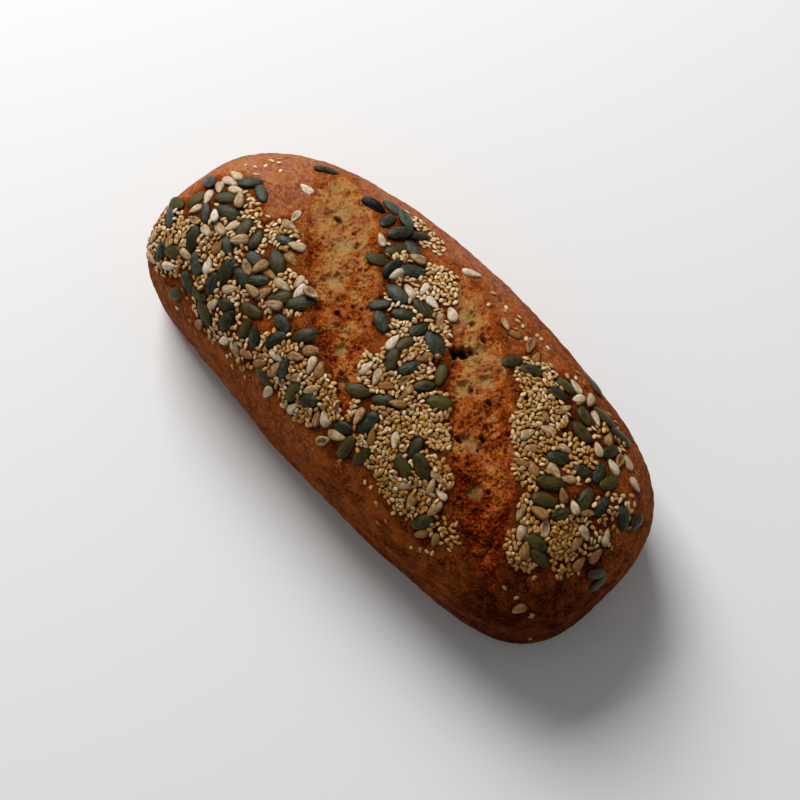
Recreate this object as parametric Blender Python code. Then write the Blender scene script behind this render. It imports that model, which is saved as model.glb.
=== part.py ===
"""A seeded multigrain loaf: a flat-based loaf with two slanting slashes that opened in the oven, and the seeds
that baked onto its top. Metres, +X along the loaf, +Y towards its far side, +Z up from the middle of the flat base."""

import math
import random

import bmesh
import bpy
from mathutils import Matrix, Vector, noise
from mathutils.bvhtree import BVHTree

# The loaf's own sizes
LOAF_LENGTH = 0.279
LOAF_WIDTH = 0.132
LOAF_HEIGHT = 0.086
WAIST_HEIGHT = 0.034  # where the sides stand out furthest

# How the loaf departs from a plain ellipsoid
BELLY = 0.217  # share by which the ends are narrower than the middle
TAPER = 0.025  # share by which the +X end is wider than the -X end
BEND = -0.0052  # how far the middle of the ends lies to the near side
CREST_FALL = 0.12  # share by which the crown is lower at the ends
BELLY_CURVE = 1.6
SIDE_SQUARENESS = 2.8
CROWN_SQUARENESS = 2.2
BASE_SQUARENESS = 5.0
BASE_REACH = 1.25  # the lower half's depth in waist heights, of which the flat base cuts off the rest
NEAR_LEFT, NEAR_RIGHT, FAR_LEFT, FAR_RIGHT = 16.0, 7.4, 4.9, 7.1  # how blunt each quarter of the outline is

# The grid on the loaf before it is shaped: faces along X, across Y and up the side
LOAF_CUTS = (28, 12, 7)
SHOULDER = (0.92, 0.82, 0.75)  # where the top grid meets the side grid, in shares of each half size
END_REACH = 1.3  # the sizes stop changing beyond this many half lengths
CASTING_STEPS = 30
SLOPE_STEP = 0.0005

# The slashes. Each runs along its own line, from the far side to the near side, between two curved edges.
# An edge is its greatest distance from the line, where along the line that is, and how it curves before and after.
SLASHES = (
    {
        "middle": (-0.038, -0.006),
        "turn": math.radians(-40),
        "start": -0.070,
        "end": 0.066,
        "left": (-0.013, -0.010, 2.6, 1.8),
        "right": (0.0185, -0.024, 2.6, 1.8),
    },
    {
        "middle": (0.048, -0.003),
        "turn": math.radians(-38),
        "start": -0.076,
        "end": 0.077,
        "left": (-0.014, 0.016, 1.2, 1.9),
        "right": (0.0155, -0.002, 3.8, 1.7),
    },
)
SLASH_CUTS = (28, 8, 1)
SLASH_TRIM = 0.97  # share of the slash's length that is cut
LEFT_DROP = 0.0042  # how deep the torn crumb lies below the crust along each edge and in the middle
RIGHT_DROP = 0.0022
MIDDLE_DROP = 0.0014
LEAST_DROP = 0.0003
CRAG_HEIGHT = 0.0020
CRAG_SPACING = 0.0075
SLASH_TIPS = 5  # how late the torn depth fades out towards a slash's two tips
CUTTER_TOP = 0.012  # above the loaf

# The lip of crust that lifts along the left edge of a slash
LIP_POINTS = 12
LIP_THICKNESS = 0.0020
LIP_INSET = 0.0009
LIP_SUNK = 0.35  # share of its thickness that lies below the crust
LIP_TIP = 0.35  # share of its thickness that is left at its tips

# Seeds: length, width and thickness, the points round the outline and how much narrower the pointed end is.
# A patch is where they lie: its middle, its reach along X and across Y, and how many seeds it holds.
PUMPKIN = {
    "size": (0.0128, 0.0072, 0.0028),
    "sides": 8,
    "point": 0.30,
    "patches": (
        (-0.114, -0.019, 0.016, 0.016, 8),
        (-0.083, -0.014, 0.024, 0.013, 7),
        (-0.096, -0.047, 0.024, 0.010, 7),
        (-0.058, -0.036, 0.024, 0.018, 13),
        (-0.020, -0.046, 0.020, 0.012, 5),
        (-0.107, 0.005, 0.003, 0.003, 1),
        (-0.092, 0.036, 0.003, 0.003, 1),
        (-0.044, 0.038, 0.018, 0.009, 8),
        (-0.020, 0.012, 0.014, 0.014, 5),
        (0.010, 0.001, 0.018, 0.018, 7),
        (0.012, -0.036, 0.014, 0.010, 4),
        (0.045, -0.036, 0.008, 0.009, 3),
        (0.022, -0.052, 0.003, 0.003, 1),
        (0.064, -0.048, 0.003, 0.003, 1),
        (0.057, 0.034, 0.016, 0.010, 4),
        (0.091, 0.034, 0.012, 0.010, 4),
        (0.101, 0.008, 0.018, 0.015, 7),
        (0.125, 0.017, 0.006, 0.010, 2),
        (0.110, -0.021, 0.008, 0.004, 2),
        (0.131, -0.006, 0.004, 0.010, 2),
        (0.068, 0.053, 0.002, 0.002, 1),
    ),
}
SUNFLOWER = {
    "size": (0.0088, 0.0048, 0.0026),
    "sides": 6,
    "point": 0.55,
    "patches": (
        (-0.078, 0.004, 0.006, 0.004, 2),
        (-0.086, 0.017, 0.003, 0.003, 1),
        (-0.106, -0.014, 0.016, 0.014, 9),
        (-0.104, -0.036, 0.020, 0.010, 6),
        (-0.067, -0.014, 0.018, 0.012, 6),
        (-0.066, -0.038, 0.024, 0.014, 8),
        (-0.024, -0.046, 0.024, 0.012, 8),
        (-0.008, 0.044, 0.008, 0.004, 2),
        (-0.014, 0.017, 0.016, 0.012, 5),
        (0.008, -0.018, 0.014, 0.012, 5),
        (0.033, 0.039, 0.008, 0.003, 2),
        (0.056, -0.043, 0.018, 0.008, 6),
        (0.071, 0.033, 0.016, 0.010, 5),
        (0.102, 0.028, 0.014, 0.012, 6),
        (0.100, 0.006, 0.024, 0.010, 7),
        (0.112, -0.015, 0.022, 0.016, 7),
        (0.118, -0.043, 0.003, 0.003, 1),
    ),
}
SESAME = {
    "size": (0.0033, 0.0022, 0.0014),
    "sides": 5,
    "point": 0.45,
    "patches": (
        (-0.075, -0.003, 0.010, 0.008, 2),
        (-0.110, 0.014, 0.010, 0.014, 1),
        (-0.100, -0.034, 0.016, 0.008, 4),
        (-0.066, -0.050, 0.016, 0.008, 2),
        (-0.020, -0.048, 0.022, 0.009, 6),
        (-0.006, 0.033, 0.012, 0.008, 3),
        (-0.002, 0.010, 0.014, 0.012, 3),
        (0.028, -0.030, 0.024, 0.014, 8),
        (0.054, -0.046, 0.014, 0.007, 2),
        (0.060, 0.029, 0.012, 0.010, 4),
        (0.076, 0.010, 0.010, 0.010, 3),
        (0.102, -0.016, 0.014, 0.012, 4),
    ),
}
SEED_RINGS = 3
SEED_ROOM = 0.0002  # the clearance between two seeds
MOST_TRIES = 400  # draws for each seed before a full patch takes no more
SIZE_SPREAD = 0.12
SEED_LIFT = 0.20  # how far a seed's middle stands above the crust, in thicknesses
SEED_TILT = math.radians(6)
SLASH_MARGIN = 0.0030
RANDOM_SEED = 11

CRUST_COLOUR = (0.30, 0.105, 0.028, 1.0)
CRUST_ROUGHNESS = 0.62
CREASE = math.radians(40)
NEARLY_NOTHING = 0.000001


def smooth_step(low, high, value):
    """0 before low, 1 after high, and a smooth rise between."""
    share = min(max((value - low) / (high - low), 0.0), 1.0)
    return share * share * (3 - 2 * share)


def outline_share(x, y):
    """How far (x, y) is towards the waist's outline: 0 in the middle, 1 on the outline."""
    half_length, half_width = LOAF_LENGTH / 2, LOAF_WIDTH / 2
    along = abs(x) / half_length
    across = y - BEND * along * along
    near = smooth_step(0.5 * half_width, -0.5 * half_width, across)
    right = smooth_step(-0.5 * half_length, 0.5 * half_length, x)
    near_power = NEAR_LEFT + (NEAR_RIGHT - NEAR_LEFT) * right
    far_power = FAR_LEFT + (FAR_RIGHT - FAR_LEFT) * right
    power = far_power + (near_power - far_power) * near
    width = half_width * (1 - BELLY * min(along, END_REACH) ** BELLY_CURVE) * (1 + TAPER * x / half_length)
    return along**power + (abs(across) / width) ** SIDE_SQUARENESS


def crown_height(x):
    """The crown's height above the waist at x."""
    along = min(2 * abs(x) / LOAF_LENGTH, END_REACH)
    return (LOAF_HEIGHT - WAIST_HEIGHT) * (1 - CREST_FALL * along * along)


def fullness(point):
    """Under 1 inside the loaf and over 1 outside it."""
    rise = point.z - WAIST_HEIGHT
    if rise > 0:
        height_share = (rise / crown_height(point.x)) ** CROWN_SQUARENESS
    else:
        height_share = (-rise / (WAIST_HEIGHT * BASE_REACH)) ** BASE_SQUARENESS
    return outline_share(point.x, point.y) + height_share


def top_height(x, y):
    """The height of the crust above (x, y)."""
    left = max(1 - outline_share(x, y), 0.0)
    return WAIST_HEIGHT + crown_height(x) * left ** (1 / CROWN_SQUARENESS)


def top_normal(x, y):
    """The crust's outward direction above (x, y)."""
    rise_x = top_height(x + SLOPE_STEP, y) - top_height(x - SLOPE_STEP, y)
    rise_y = top_height(x, y + SLOPE_STEP) - top_height(x, y - SLOPE_STEP)
    return Vector((-rise_x, -rise_y, 2 * SLOPE_STEP)).normalized()


def cast_out(centre, direction):
    """Where a ray from centre leaves the loaf."""
    inner, outer = 0.0, 3.0
    for _ in range(CASTING_STEPS):
        middle = (inner + outer) / 2
        if fullness(centre + direction * middle) < 1:
            inner = middle
        else:
            outer = middle
    return centre + direction * inner


def loaf_point(u, v, w):
    """Where the point (u, v, w) of a cube with corners at -1 and 1 goes on the loaf."""
    half_length, half_width = LOAF_LENGTH / 2, LOAF_WIDTH / 2
    edge = max(abs(u), abs(v))
    if edge == 0 and w < 0:
        return Vector((0, 0, 0))
    scale = edge if edge > 0 else 1.0
    if w <= -1:
        rim = cast_out(Vector((0, 0, 0)), Vector((u / scale * half_length, v / scale * half_width, 0)))
        return rim * edge
    waist = Vector((0, 0, WAIST_HEIGHT))
    crown = LOAF_HEIGHT - WAIST_HEIGHT
    upward = Vector((u * half_length * SHOULDER[0], v * half_width * SHOULDER[1], crown * SHOULDER[2]))
    if w >= 1:
        return cast_out(waist, upward)
    rim = cast_out(Vector((0, 0, 0)), Vector((u * half_length, v * half_width, 0)))
    return cast_out(waist, (rim - waist).lerp(upward, (w + 1) / 2))


def sculpted_cube(name, cuts, place):
    """A closed block: a cube with a grid on each side, each of whose points goes where place says."""
    mesh = bpy.data.meshes.new(name)
    grid = bmesh.new()
    bmesh.ops.create_cube(grid, size=2)
    for axis, faces in enumerate(cuts):
        along = [e for e in grid.edges if abs(e.verts[0].co[axis] - e.verts[1].co[axis]) > 1.5]
        if faces > 1:
            bmesh.ops.subdivide_edges(grid, edges=along, cuts=faces - 1, use_grid_fill=True)
    for vert in grid.verts:
        vert.co = place(*(round(c, 6) for c in vert.co))
    bmesh.ops.recalc_face_normals(grid, faces=grid.faces)
    grid.to_mesh(mesh)
    grid.free()
    return bpy.data.objects.new(name, mesh)


def flatten_base(loaf):
    """The grid on the flat base becomes one face."""
    grid = bmesh.new()
    grid.from_mesh(loaf.data)
    flat = [f for f in grid.faces if all(v.co.z < NEARLY_NOTHING for v in f.verts)]
    bmesh.ops.dissolve_faces(grid, faces=flat, use_verts=True)
    grid.to_mesh(loaf.data)
    grid.free()


def edge_offset(slash, side, along):
    """How far one edge of a slash lies from its line."""
    reach, peak, before, after = slash[side]
    if along < peak:
        return reach * (1 - min((peak - along) / (peak - slash["start"]), 1.0) ** before)
    return reach * (1 - min((along - peak) / (slash["end"] - peak), 1.0) ** after)


def slash_to_plan(slash, along, across):
    """The (x, y) of a point given along and across a slash's line."""
    cos, sin = math.cos(slash["turn"]), math.sin(slash["turn"])
    x, y = slash["middle"]
    return x + along * cos - across * sin, y + along * sin + across * cos


def plan_to_slash(slash, x, y):
    """The point (x, y) along and across a slash's line."""
    cos, sin = math.cos(slash["turn"]), math.sin(slash["turn"])
    dx, dy = x - slash["middle"][0], y - slash["middle"][1]
    return dx * cos + dy * sin, dy * cos - dx * sin


def torn_depth(slash, along, share, x, y):
    """How far the torn crumb lies below the crust. share runs from -1 on the left edge to 1 on the right one."""
    half = (slash["end"] - slash["start"]) / 2
    middle = (slash["end"] + slash["start"]) / 2
    fade = 1 - abs((along - middle) / half) ** SLASH_TIPS
    drop = MIDDLE_DROP
    drop += LEFT_DROP * (1 - smooth_step(-1.0, -0.1, share))
    drop += RIGHT_DROP * smooth_step(0.2, 1.0, share)
    crag = noise.noise(Vector((x, y, 0)) / CRAG_SPACING)
    return max(drop * fade + crag * CRAG_HEIGHT, LEAST_DROP)


def slash_cutter(name, slash):
    """The block that opens a slash. Its underside is the torn crumb."""
    middle = (slash["end"] + slash["start"]) / 2
    half = (slash["end"] - slash["start"]) / 2 * SLASH_TRIM

    def place(u, v, w):
        along = middle + u * half
        left = edge_offset(slash, "left", along)
        right = edge_offset(slash, "right", along)
        across = left + (right - left) * (v + 1) / 2
        x, y = slash_to_plan(slash, along, across)
        if w > 0:
            return Vector((x, y, LOAF_HEIGHT + CUTTER_TOP))
        return Vector((x, y, top_height(x, y) - torn_depth(slash, along, v, x, y)))

    return sculpted_cube(name, SLASH_CUTS, place)


def lip(name, slash):
    """The rounded rim of crust along the left edge of a slash, thickest in the middle of its length."""
    curve = bpy.data.curves.new(name, "CURVE")
    curve.dimensions = "3D"
    curve.bevel_depth = LIP_THICKNESS
    curve.bevel_resolution = 0
    curve.use_fill_caps = True
    spline = curve.splines.new("POLY")
    spline.points.add(LIP_POINTS - 1)
    for i, point in enumerate(spline.points):
        share = (i + 0.5) / LIP_POINTS
        along = slash["start"] + (slash["end"] - slash["start"]) * share
        x, y = slash_to_plan(slash, along, edge_offset(slash, "left", along) - LIP_INSET)
        sunk = top_normal(x, y) * LIP_THICKNESS * LIP_SUNK
        point.co = (x - sunk.x, y - sunk.y, top_height(x, y) - sunk.z, 1)
        point.radius = LIP_TIP + (1 - LIP_TIP) * math.sin(math.pi * share)
    made = bpy.data.objects.new(name, curve)
    bpy.context.scene.collection.objects.link(made)
    return mesh_of(made)


def mesh_of(curve_object):
    """A curve's tube as a closed mesh object, with its caps welded on."""
    graph = bpy.context.evaluated_depsgraph_get()
    mesh = bpy.data.meshes.new_from_object(curve_object.evaluated_get(graph))
    tube = bmesh.new()
    tube.from_mesh(mesh)
    bmesh.ops.remove_doubles(tube, verts=tube.verts, dist=NEARLY_NOTHING)
    bmesh.ops.recalc_face_normals(tube, faces=tube.faces)
    tube.to_mesh(mesh)
    tube.free()
    made = bpy.data.objects.new(curve_object.name + "_mesh", mesh)
    made.matrix_world = curve_object.matrix_world
    bpy.data.objects.remove(curve_object)
    return made


def in_slash(x, y):
    """True where (x, y) lies in a slash or at its very edge."""
    for slash in SLASHES:
        along, across = plan_to_slash(slash, x, y)
        left = edge_offset(slash, "left", along) - SLASH_MARGIN
        right = edge_offset(slash, "right", along) + SLASH_MARGIN
        if slash["start"] < along < slash["end"] and left < across < right:
            return True
    return False


def footprint(seed):
    """Three circles that cover a seed as seen from above."""
    length, width = seed["size"][:2]
    reach = (length - width) / 2
    cos, sin = math.cos(seed["turn"]), math.sin(seed["turn"])
    return [(seed["x"] + k * reach * cos, seed["y"] + k * reach * sin, width / 2) for k in (-1, 0, 1)]


def clear_of(seed, others):
    """True where a seed stands clear of those already laid."""
    length = seed["size"][0]
    for other in others:
        apart = math.hypot(seed["x"] - other["x"], seed["y"] - other["y"])
        if apart > (length + other["size"][0]) / 2 + SEED_ROOM:
            continue
        for ax, ay, ar in footprint(seed):
            for bx, by, br in footprint(other):
                if math.hypot(ax - bx, ay - by) < ar + br + SEED_ROOM:
                    return False
    return True


def draw_seed(rule, patch, draw):
    """A seed of one kind, drawn at random within a patch."""
    x, y, reach_x, reach_y, _ = patch
    away, round_it = math.sqrt(draw.random()), draw.uniform(0, math.tau)
    grow = 1 + draw.uniform(-SIZE_SPREAD, SIZE_SPREAD)
    return {
        "x": x + reach_x * away * math.cos(round_it),
        "y": y + reach_y * away * math.sin(round_it),
        "turn": draw.uniform(0, math.tau),
        "tilt": (draw.uniform(-SEED_TILT, SEED_TILT), draw.uniform(-SEED_TILT, SEED_TILT)),
        "size": tuple(side * grow for side in rule["size"]),
    }


def scatter(rule, others, draw):
    """Lays one kind of seed patch by patch on the crust, clear of one another."""
    laid = []
    for patch in rule["patches"]:
        count, tries = 0, 0
        while count < patch[-1] and tries < MOST_TRIES:
            seed = draw_seed(rule, patch, draw)
            tries += 1
            if not in_slash(seed["x"], seed["y"]) and clear_of(seed, others + laid):
                laid.append(seed)
                count += 1
                tries = 0
    return laid


def seed_mesh(name, rule):
    """One kind of seed: a flattened round body along X that narrows towards +X."""
    mesh = bpy.data.meshes.new(name)
    body = bmesh.new()
    bmesh.ops.create_uvsphere(body, u_segments=rule["sides"], v_segments=SEED_RINGS, radius=1)
    widest = max(math.hypot(vert.co.x, vert.co.y) for vert in body.verts)
    tallest = max(vert.co.z for vert in body.verts)
    for vert in body.verts:
        x, y, z = vert.co.x / widest, vert.co.y / widest, vert.co.z / tallest
        vert.co = Vector((x, y * (1 - rule["point"] * max(x, 0)), z)) / 2
    bmesh.ops.recalc_face_normals(body, faces=body.faces)
    body.to_mesh(mesh)
    body.free()
    return mesh


def seed_matrix(seed, crust):
    """Where a seed lies: flat on the crust, turned and a little tilted, with its lower side baked in."""
    up = top_normal(seed["x"], seed["y"])
    base = crust.find_nearest(Vector((seed["x"], seed["y"], top_height(seed["x"], seed["y"]))))[0]
    lean = up.to_track_quat("Z", "Y").to_matrix().to_4x4()
    turn = Matrix.Rotation(seed["turn"], 4, "Z")
    tilt = Matrix.Rotation(seed["tilt"][0], 4, "X") @ Matrix.Rotation(seed["tilt"][1], 4, "Y")
    scale = Matrix.Diagonal((*seed["size"], 1))
    return Matrix.Translation(base + up * seed["size"][2] * SEED_LIFT) @ lean @ turn @ tilt @ scale


def collection_of(name, objects):
    """A collection that holds these objects."""
    made = bpy.data.collections.new(name)
    bpy.context.scene.collection.children.link(made)
    for one in objects:
        made.objects.link(one)
    return made


def combine(loaf, collection, operation):
    """Joins a collection's objects to the loaf or cuts them from it, for good, and removes them."""
    modifier = loaf.modifiers.new(collection.name, "BOOLEAN")
    modifier.operation = operation
    modifier.operand_type = "COLLECTION"
    modifier.collection = collection
    modifier.solver = "EXACT"
    graph = bpy.context.evaluated_depsgraph_get()
    joined = bpy.data.meshes.new_from_object(loaf.evaluated_get(graph))
    loaf.modifiers.clear()
    loaf.data = joined
    for one in list(collection.objects):
        bpy.data.objects.remove(one)
    bpy.data.collections.remove(collection)


def crust_material():
    """Baked brown crust."""
    material = bpy.data.materials.new("baked_crust")
    material.use_nodes = True
    shader = material.node_tree.nodes["Principled BSDF"]
    shader.inputs["Base Color"].default_value = CRUST_COLOUR
    shader.inputs["Roughness"].default_value = CRUST_ROUGHNESS
    shader.inputs["Metallic"].default_value = 0.0
    return material


def crust_tree(loaf):
    """The loaf's surface, to lay the seeds on."""
    grid = bmesh.new()
    grid.from_mesh(loaf.data)
    tree = BVHTree.FromBMesh(grid)
    grid.free()
    return tree


def lay_seeds(crust):
    """Every fused seed, the largest kind first."""
    draw = random.Random(RANDOM_SEED)
    laid, objects = [], []
    for kind, rule in (("pumpkin", PUMPKIN), ("sunflower", SUNFLOWER), ("sesame", SESAME)):
        mesh = seed_mesh(kind, rule)
        fresh = scatter(rule, laid, draw)
        for number, seed in enumerate(fresh):
            copy = bpy.data.objects.new(f"{kind}_{number}", mesh)
            copy.matrix_world = seed_matrix(seed, crust)
            objects.append(copy)
        laid += fresh
    return objects


def main():
    for old in list(bpy.data.objects):
        bpy.data.objects.remove(old)
    loaf = sculpted_cube("loaf", LOAF_CUTS, loaf_point)
    flatten_base(loaf)
    crust = crust_tree(loaf)
    collection_of("seeded_loaf", [loaf])
    lips, cutters = [], []
    for number, slash in enumerate(SLASHES, 1):
        lips.append(lip(f"lip_{number}", slash))
        cutters.append(slash_cutter(f"slash_{number}", slash))
    combine(loaf, collection_of("lips", lips), "UNION")
    combine(loaf, collection_of("slashes", cutters), "DIFFERENCE")
    combine(loaf, collection_of("seeds", lay_seeds(crust)), "UNION")
    loaf.data.materials.clear()
    loaf.data.materials.append(crust_material())
    loaf.data.shade_smooth()
    loaf.data.set_sharp_from_angle(angle=CREASE)


if __name__ == "__main__":
    main()
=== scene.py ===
"""Dresses the seeded multigrain loaf: its baked crust, the crumb torn open in its slashes, and its seeds.
Metres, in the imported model's own frame: +X along the loaf, +Y to its far side, +Z up from its flat base."""

import functools
import math
import random

import bmesh
import bpy
import numpy as np
from bpy.props import FloatProperty, FloatVectorProperty, PointerProperty
from mathutils import Matrix, Vector, noise


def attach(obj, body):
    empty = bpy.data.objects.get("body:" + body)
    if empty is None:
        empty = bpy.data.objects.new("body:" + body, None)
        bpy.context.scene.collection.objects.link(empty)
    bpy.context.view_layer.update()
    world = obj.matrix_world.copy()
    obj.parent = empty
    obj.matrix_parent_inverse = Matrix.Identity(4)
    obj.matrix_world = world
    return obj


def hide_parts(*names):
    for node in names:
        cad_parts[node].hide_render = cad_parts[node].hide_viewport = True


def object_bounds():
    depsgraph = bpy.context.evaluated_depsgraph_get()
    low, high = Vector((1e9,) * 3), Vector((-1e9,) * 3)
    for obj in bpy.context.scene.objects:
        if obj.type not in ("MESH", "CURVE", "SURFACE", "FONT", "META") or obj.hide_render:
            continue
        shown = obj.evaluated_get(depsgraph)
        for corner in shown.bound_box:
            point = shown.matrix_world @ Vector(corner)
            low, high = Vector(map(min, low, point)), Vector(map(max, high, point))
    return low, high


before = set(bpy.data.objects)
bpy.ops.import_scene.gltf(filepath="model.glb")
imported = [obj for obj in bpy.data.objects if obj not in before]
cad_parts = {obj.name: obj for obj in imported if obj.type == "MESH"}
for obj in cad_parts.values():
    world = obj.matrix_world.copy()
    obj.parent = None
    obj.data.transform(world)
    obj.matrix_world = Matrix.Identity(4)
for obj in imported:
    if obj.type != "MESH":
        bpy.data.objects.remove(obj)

CAD_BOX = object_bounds()

bl_info = {
    "name": "Seeded multigrain loaf",
    "version": (1, 0, 0),
    "blender": (4, 5, 0),
    "location": "3D View > Sidebar > Loaf",
    "description": "Bakes the crust, tears the slashes and lays the seeds of a multigrain loaf",
    "category": "Object",
}

LOAF_LENGTH = CAD_BOX[1].x - CAD_BOX[0].x
LOAF_WIDTH = CAD_BOX[1].y - CAD_BOX[0].y
MM = 0.001

# How the loaf departs from a plain ellipsoid
BELLY = 0.217  # share by which the ends are narrower than the middle
BELLY_CURVE = 1.6
TAPER = 0.025  # share by which the +X end is wider than the -X end
BEND = -5.2 * MM  # how far the middle of the ends lies to the near side
CREST_FALL = 0.12  # share by which the crown is lower at the ends
SIDE_SQUARENESS = 2.8
CROWN_SQUARENESS = 2.2
BASE_SQUARENESS = 5.0
BASE_REACH = 1.25  # the lower half's depth in waist heights, of which the flat base cuts off the rest
NEAR_LEFT, NEAR_RIGHT, FAR_LEFT, FAR_RIGHT = 16.0, 7.4, 4.9, 7.1  # how blunt each quarter of the outline is
QUARTER_BLEND = 0.5  # the quarters blend over this share of each half size on both sides of the middle
END_REACH = 1.3  # the sizes stop changing beyond this many half lengths
SHOULDER = (0.92, 0.82, 0.75)  # where the top grid meets the side grid, in shares of each half size
CASTING_REACH = 3.0  # how far out a ray may leave the loaf, in half sizes
CASTING_STEPS = 26
SLOPE_STEP = 0.5 * MM

# The crust's mesh: faces along X, across Y and up the side
CRUST_CUTS = (280, 118, 76)
# Spacing and height of the crust's unevenness
LUMPS = ((34 * MM, 0.7 * MM), (11 * MM, 0.44 * MM), (3.6 * MM, 0.30 * MM), (1.8 * MM, 0.12 * MM))
FOOT = 5 * MM  # the unevenness fades out towards the base over this height
BASE_CREASE = math.radians(60)  # the crust's mesh stays sharp where its faces turn more than this

# How the oven baked the loaf: where its heat on each side starts and where it is full
NEAR_SIDE = (30 * MM, -62 * MM)
RIGHT_SIDE = (-100 * MM, 130 * MM)
LOW_SIDE = (72 * MM, 20 * MM)
RIGHT_END = (80 * MM, 130 * MM)
# The heat all over, what each side adds to it, and what is added or lost where two of them meet
HEAT_ALL_OVER, HEAT_NEAR, HEAT_RIGHT, HEAT_LOW, HEAT_END = 0.15, 0.26, 0.44, 0.30, -0.15
HEAT_LOW_NEAR, HEAT_NEAR_RIGHT, HEAT_END_NEAR = -0.18, -0.12, 0.58
# Patches that baked more or less: their spacing, where their noise starts and how much they differ
CRUST_PATCHES = ((26 * MM, 5.0, 0.18), (8 * MM, 9.0, 0.16))
CRUMB_PATCHES = ((13 * MM, 3.0, 0.50), (5 * MM, 1.0, 0.45))
SHADE_AMONG_SEEDS = 0.58  # painted shade: how much darker the crust is painted where seeds lie thickly
SLASH_SHADE_AND_BROWNING, SLASH_SHADE_AND_BROWNING_REACH = 0.18, 6 * MM  # how much darker the crust is by a slash, partly painted crease shade and partly real browning, and how far from it
# How far the torn crumb browned: all over, along its edges, along the left one partly as painted shade under
# the lip, and towards the near side and the +X end
CRUMB_ALL_OVER, CRUMB_EDGES, CRUMB_NEAR, CRUMB_RIGHT = 0.10, 0.34, 0.75, 0.27
CRUMB_NEAR_SIDE = (10 * MM, -60 * MM)
CRUMB_RIGHT_SIDE = (0, 100 * MM)
SHADE_AND_BROWN_LEFT, BROWN_RIGHT = 4 * MM, 5 * MM  # how far in the browning goes from each edge, on the left partly painted shade under the lip
BROWN_RIGHT_SHARE = 0.8  # how strong it is along the right edge, beside the left one

# The slashes. Each runs along its own line, from the far side to the near side, between two curved edges.
# An edge is its greatest distance from the line, where along the line that is, and how it curves before and
# after that. Hollows are smooth pale pockets in the torn crumb, and pits are holes painted dark with shade:
# each is its middle, its reach along X and Y, and its depth, in millimetres.
SLASHES = (
    {
        "name": "first",
        "middle": (-38 * MM, -6 * MM),
        "turn": math.radians(-40),
        "start": -70 * MM,
        "end": 66 * MM,
        "left": (-12 * MM, -15 * MM, 3.0, 1.7),
        "right": (19.5 * MM, -22 * MM, 2.8, 1.9),
        "hollows": (
            (-80, 33, 5, 4, 1.0),
            (-66, 24, 6, 4, 1.4),
            (-42, -4, 7, 5, 2.2),
            (-52, 12, 7, 5, 0.8),
            (-16, -24, 4, 4, 2.0),
            (-4, -33, 4, 3, 1.4),
        ),
        "pits": (
            (-64, 20, 2.2, 1.6, 3.0),
            (-84, 26, 2.4, 1.6, 2.4),
            (-74, 35, 1.4, 1.2, 2.0),
            (-30, -13, 2.4, 1.8, 3.4),
            (-54, 20, 1.6, 1.4, 1.8),
            (-27, -6, 1.4, 1.4, 1.6),
            (-8, -31, 1.6, 1.4, 2.0),
        ),
    },
    {
        "name": "second",
        "middle": (48 * MM, -3 * MM),
        "turn": math.radians(-38),
        "start": -76 * MM,
        "end": 77 * MM,
        "left": (-14 * MM, 16 * MM, 1.2, 1.9),
        "right": (16.5 * MM, 2 * MM, 3.6, 2.0),
        "hollows": (
            (10, 28, 7, 5, 1.4),
            (28, 22, 6, 3, 1.6),
            (40, 12, 5, 4, 1.0),
            (56, -12, 6, 4, 2.0),
            (72, -26, 5, 4, 1.8),
            (34, 2, 5, 4, 1.0),
        ),
        "pits": (
            (19.5, 11.5, 4.0, 3.0, 6.5),
            (22.5, 14.5, 4.0, 3.0, 6.5),
            (25, 18, 2.8, 2.2, 4.0),
            (15, 29, 1.6, 1.4, 2.2),
            (24, 27, 2.4, 1.6, 3.0),
            (50, -15, 2.4, 1.8, 3.4),
            (48, 6, 2.2, 1.4, 2.6),
            (57, -7, 2.6, 1.4, 2.8),
            (64, -33, 2.2, 1.8, 2.6),
            (76, -22, 1.6, 1.4, 2.2),
        ),
    },
)
CRUMB_CUTS = (520, 150)
MARGIN = 4.5 * MM  # how far the crumb's mesh reaches over the crust on each side of a slash
TUCK = 0.12 * MM  # how far its rim lies below the crust there
# Spacing and reach of the raggedness along the torn edges
RAGGED = ((13 * MM, 1.5 * MM), (4.5 * MM, 0.9 * MM), (1.5 * MM, 0.35 * MM))
EDGE_SAMPLES = 1200
LEFT_WALL, RIGHT_WALL = 1.8 * MM, 3.2 * MM  # how wide the torn wall is along each edge
SOFT_WALL = 7 * MM  # how much wider the left one is at the far tip, where the crust tore without lifting
SOFT_STRETCH = (-0.25, -0.8)  # it widens between these places along the slash, which runs from -1 to 1
STRAY_CRUMB = 2.4 * MM  # how far the torn look strays over a right edge, where the crust only frayed
LIP_REACH = 1.9 * MM
LIP_SETBACK = 0.8 * MM  # how far outside an edge its lip is highest
RIGHT_LIP = 0.45  # how high the right lip is, as a share of the left one
SINK = 11 * MM  # how far the crust's own mesh drops out of sight under the crumb
SINK_STRETCH = (-1.8 * MM, -0.6 * MM)  # where it starts to drop and has dropped; below 0 is outside a slash
SLASH_TIPS = 5  # how late the torn depth fades out towards a slash's two tips
NARROW = 12 * MM  # a slash narrower than this is shallower too
LEAST_WIDTH = 0.1 * MM
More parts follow.
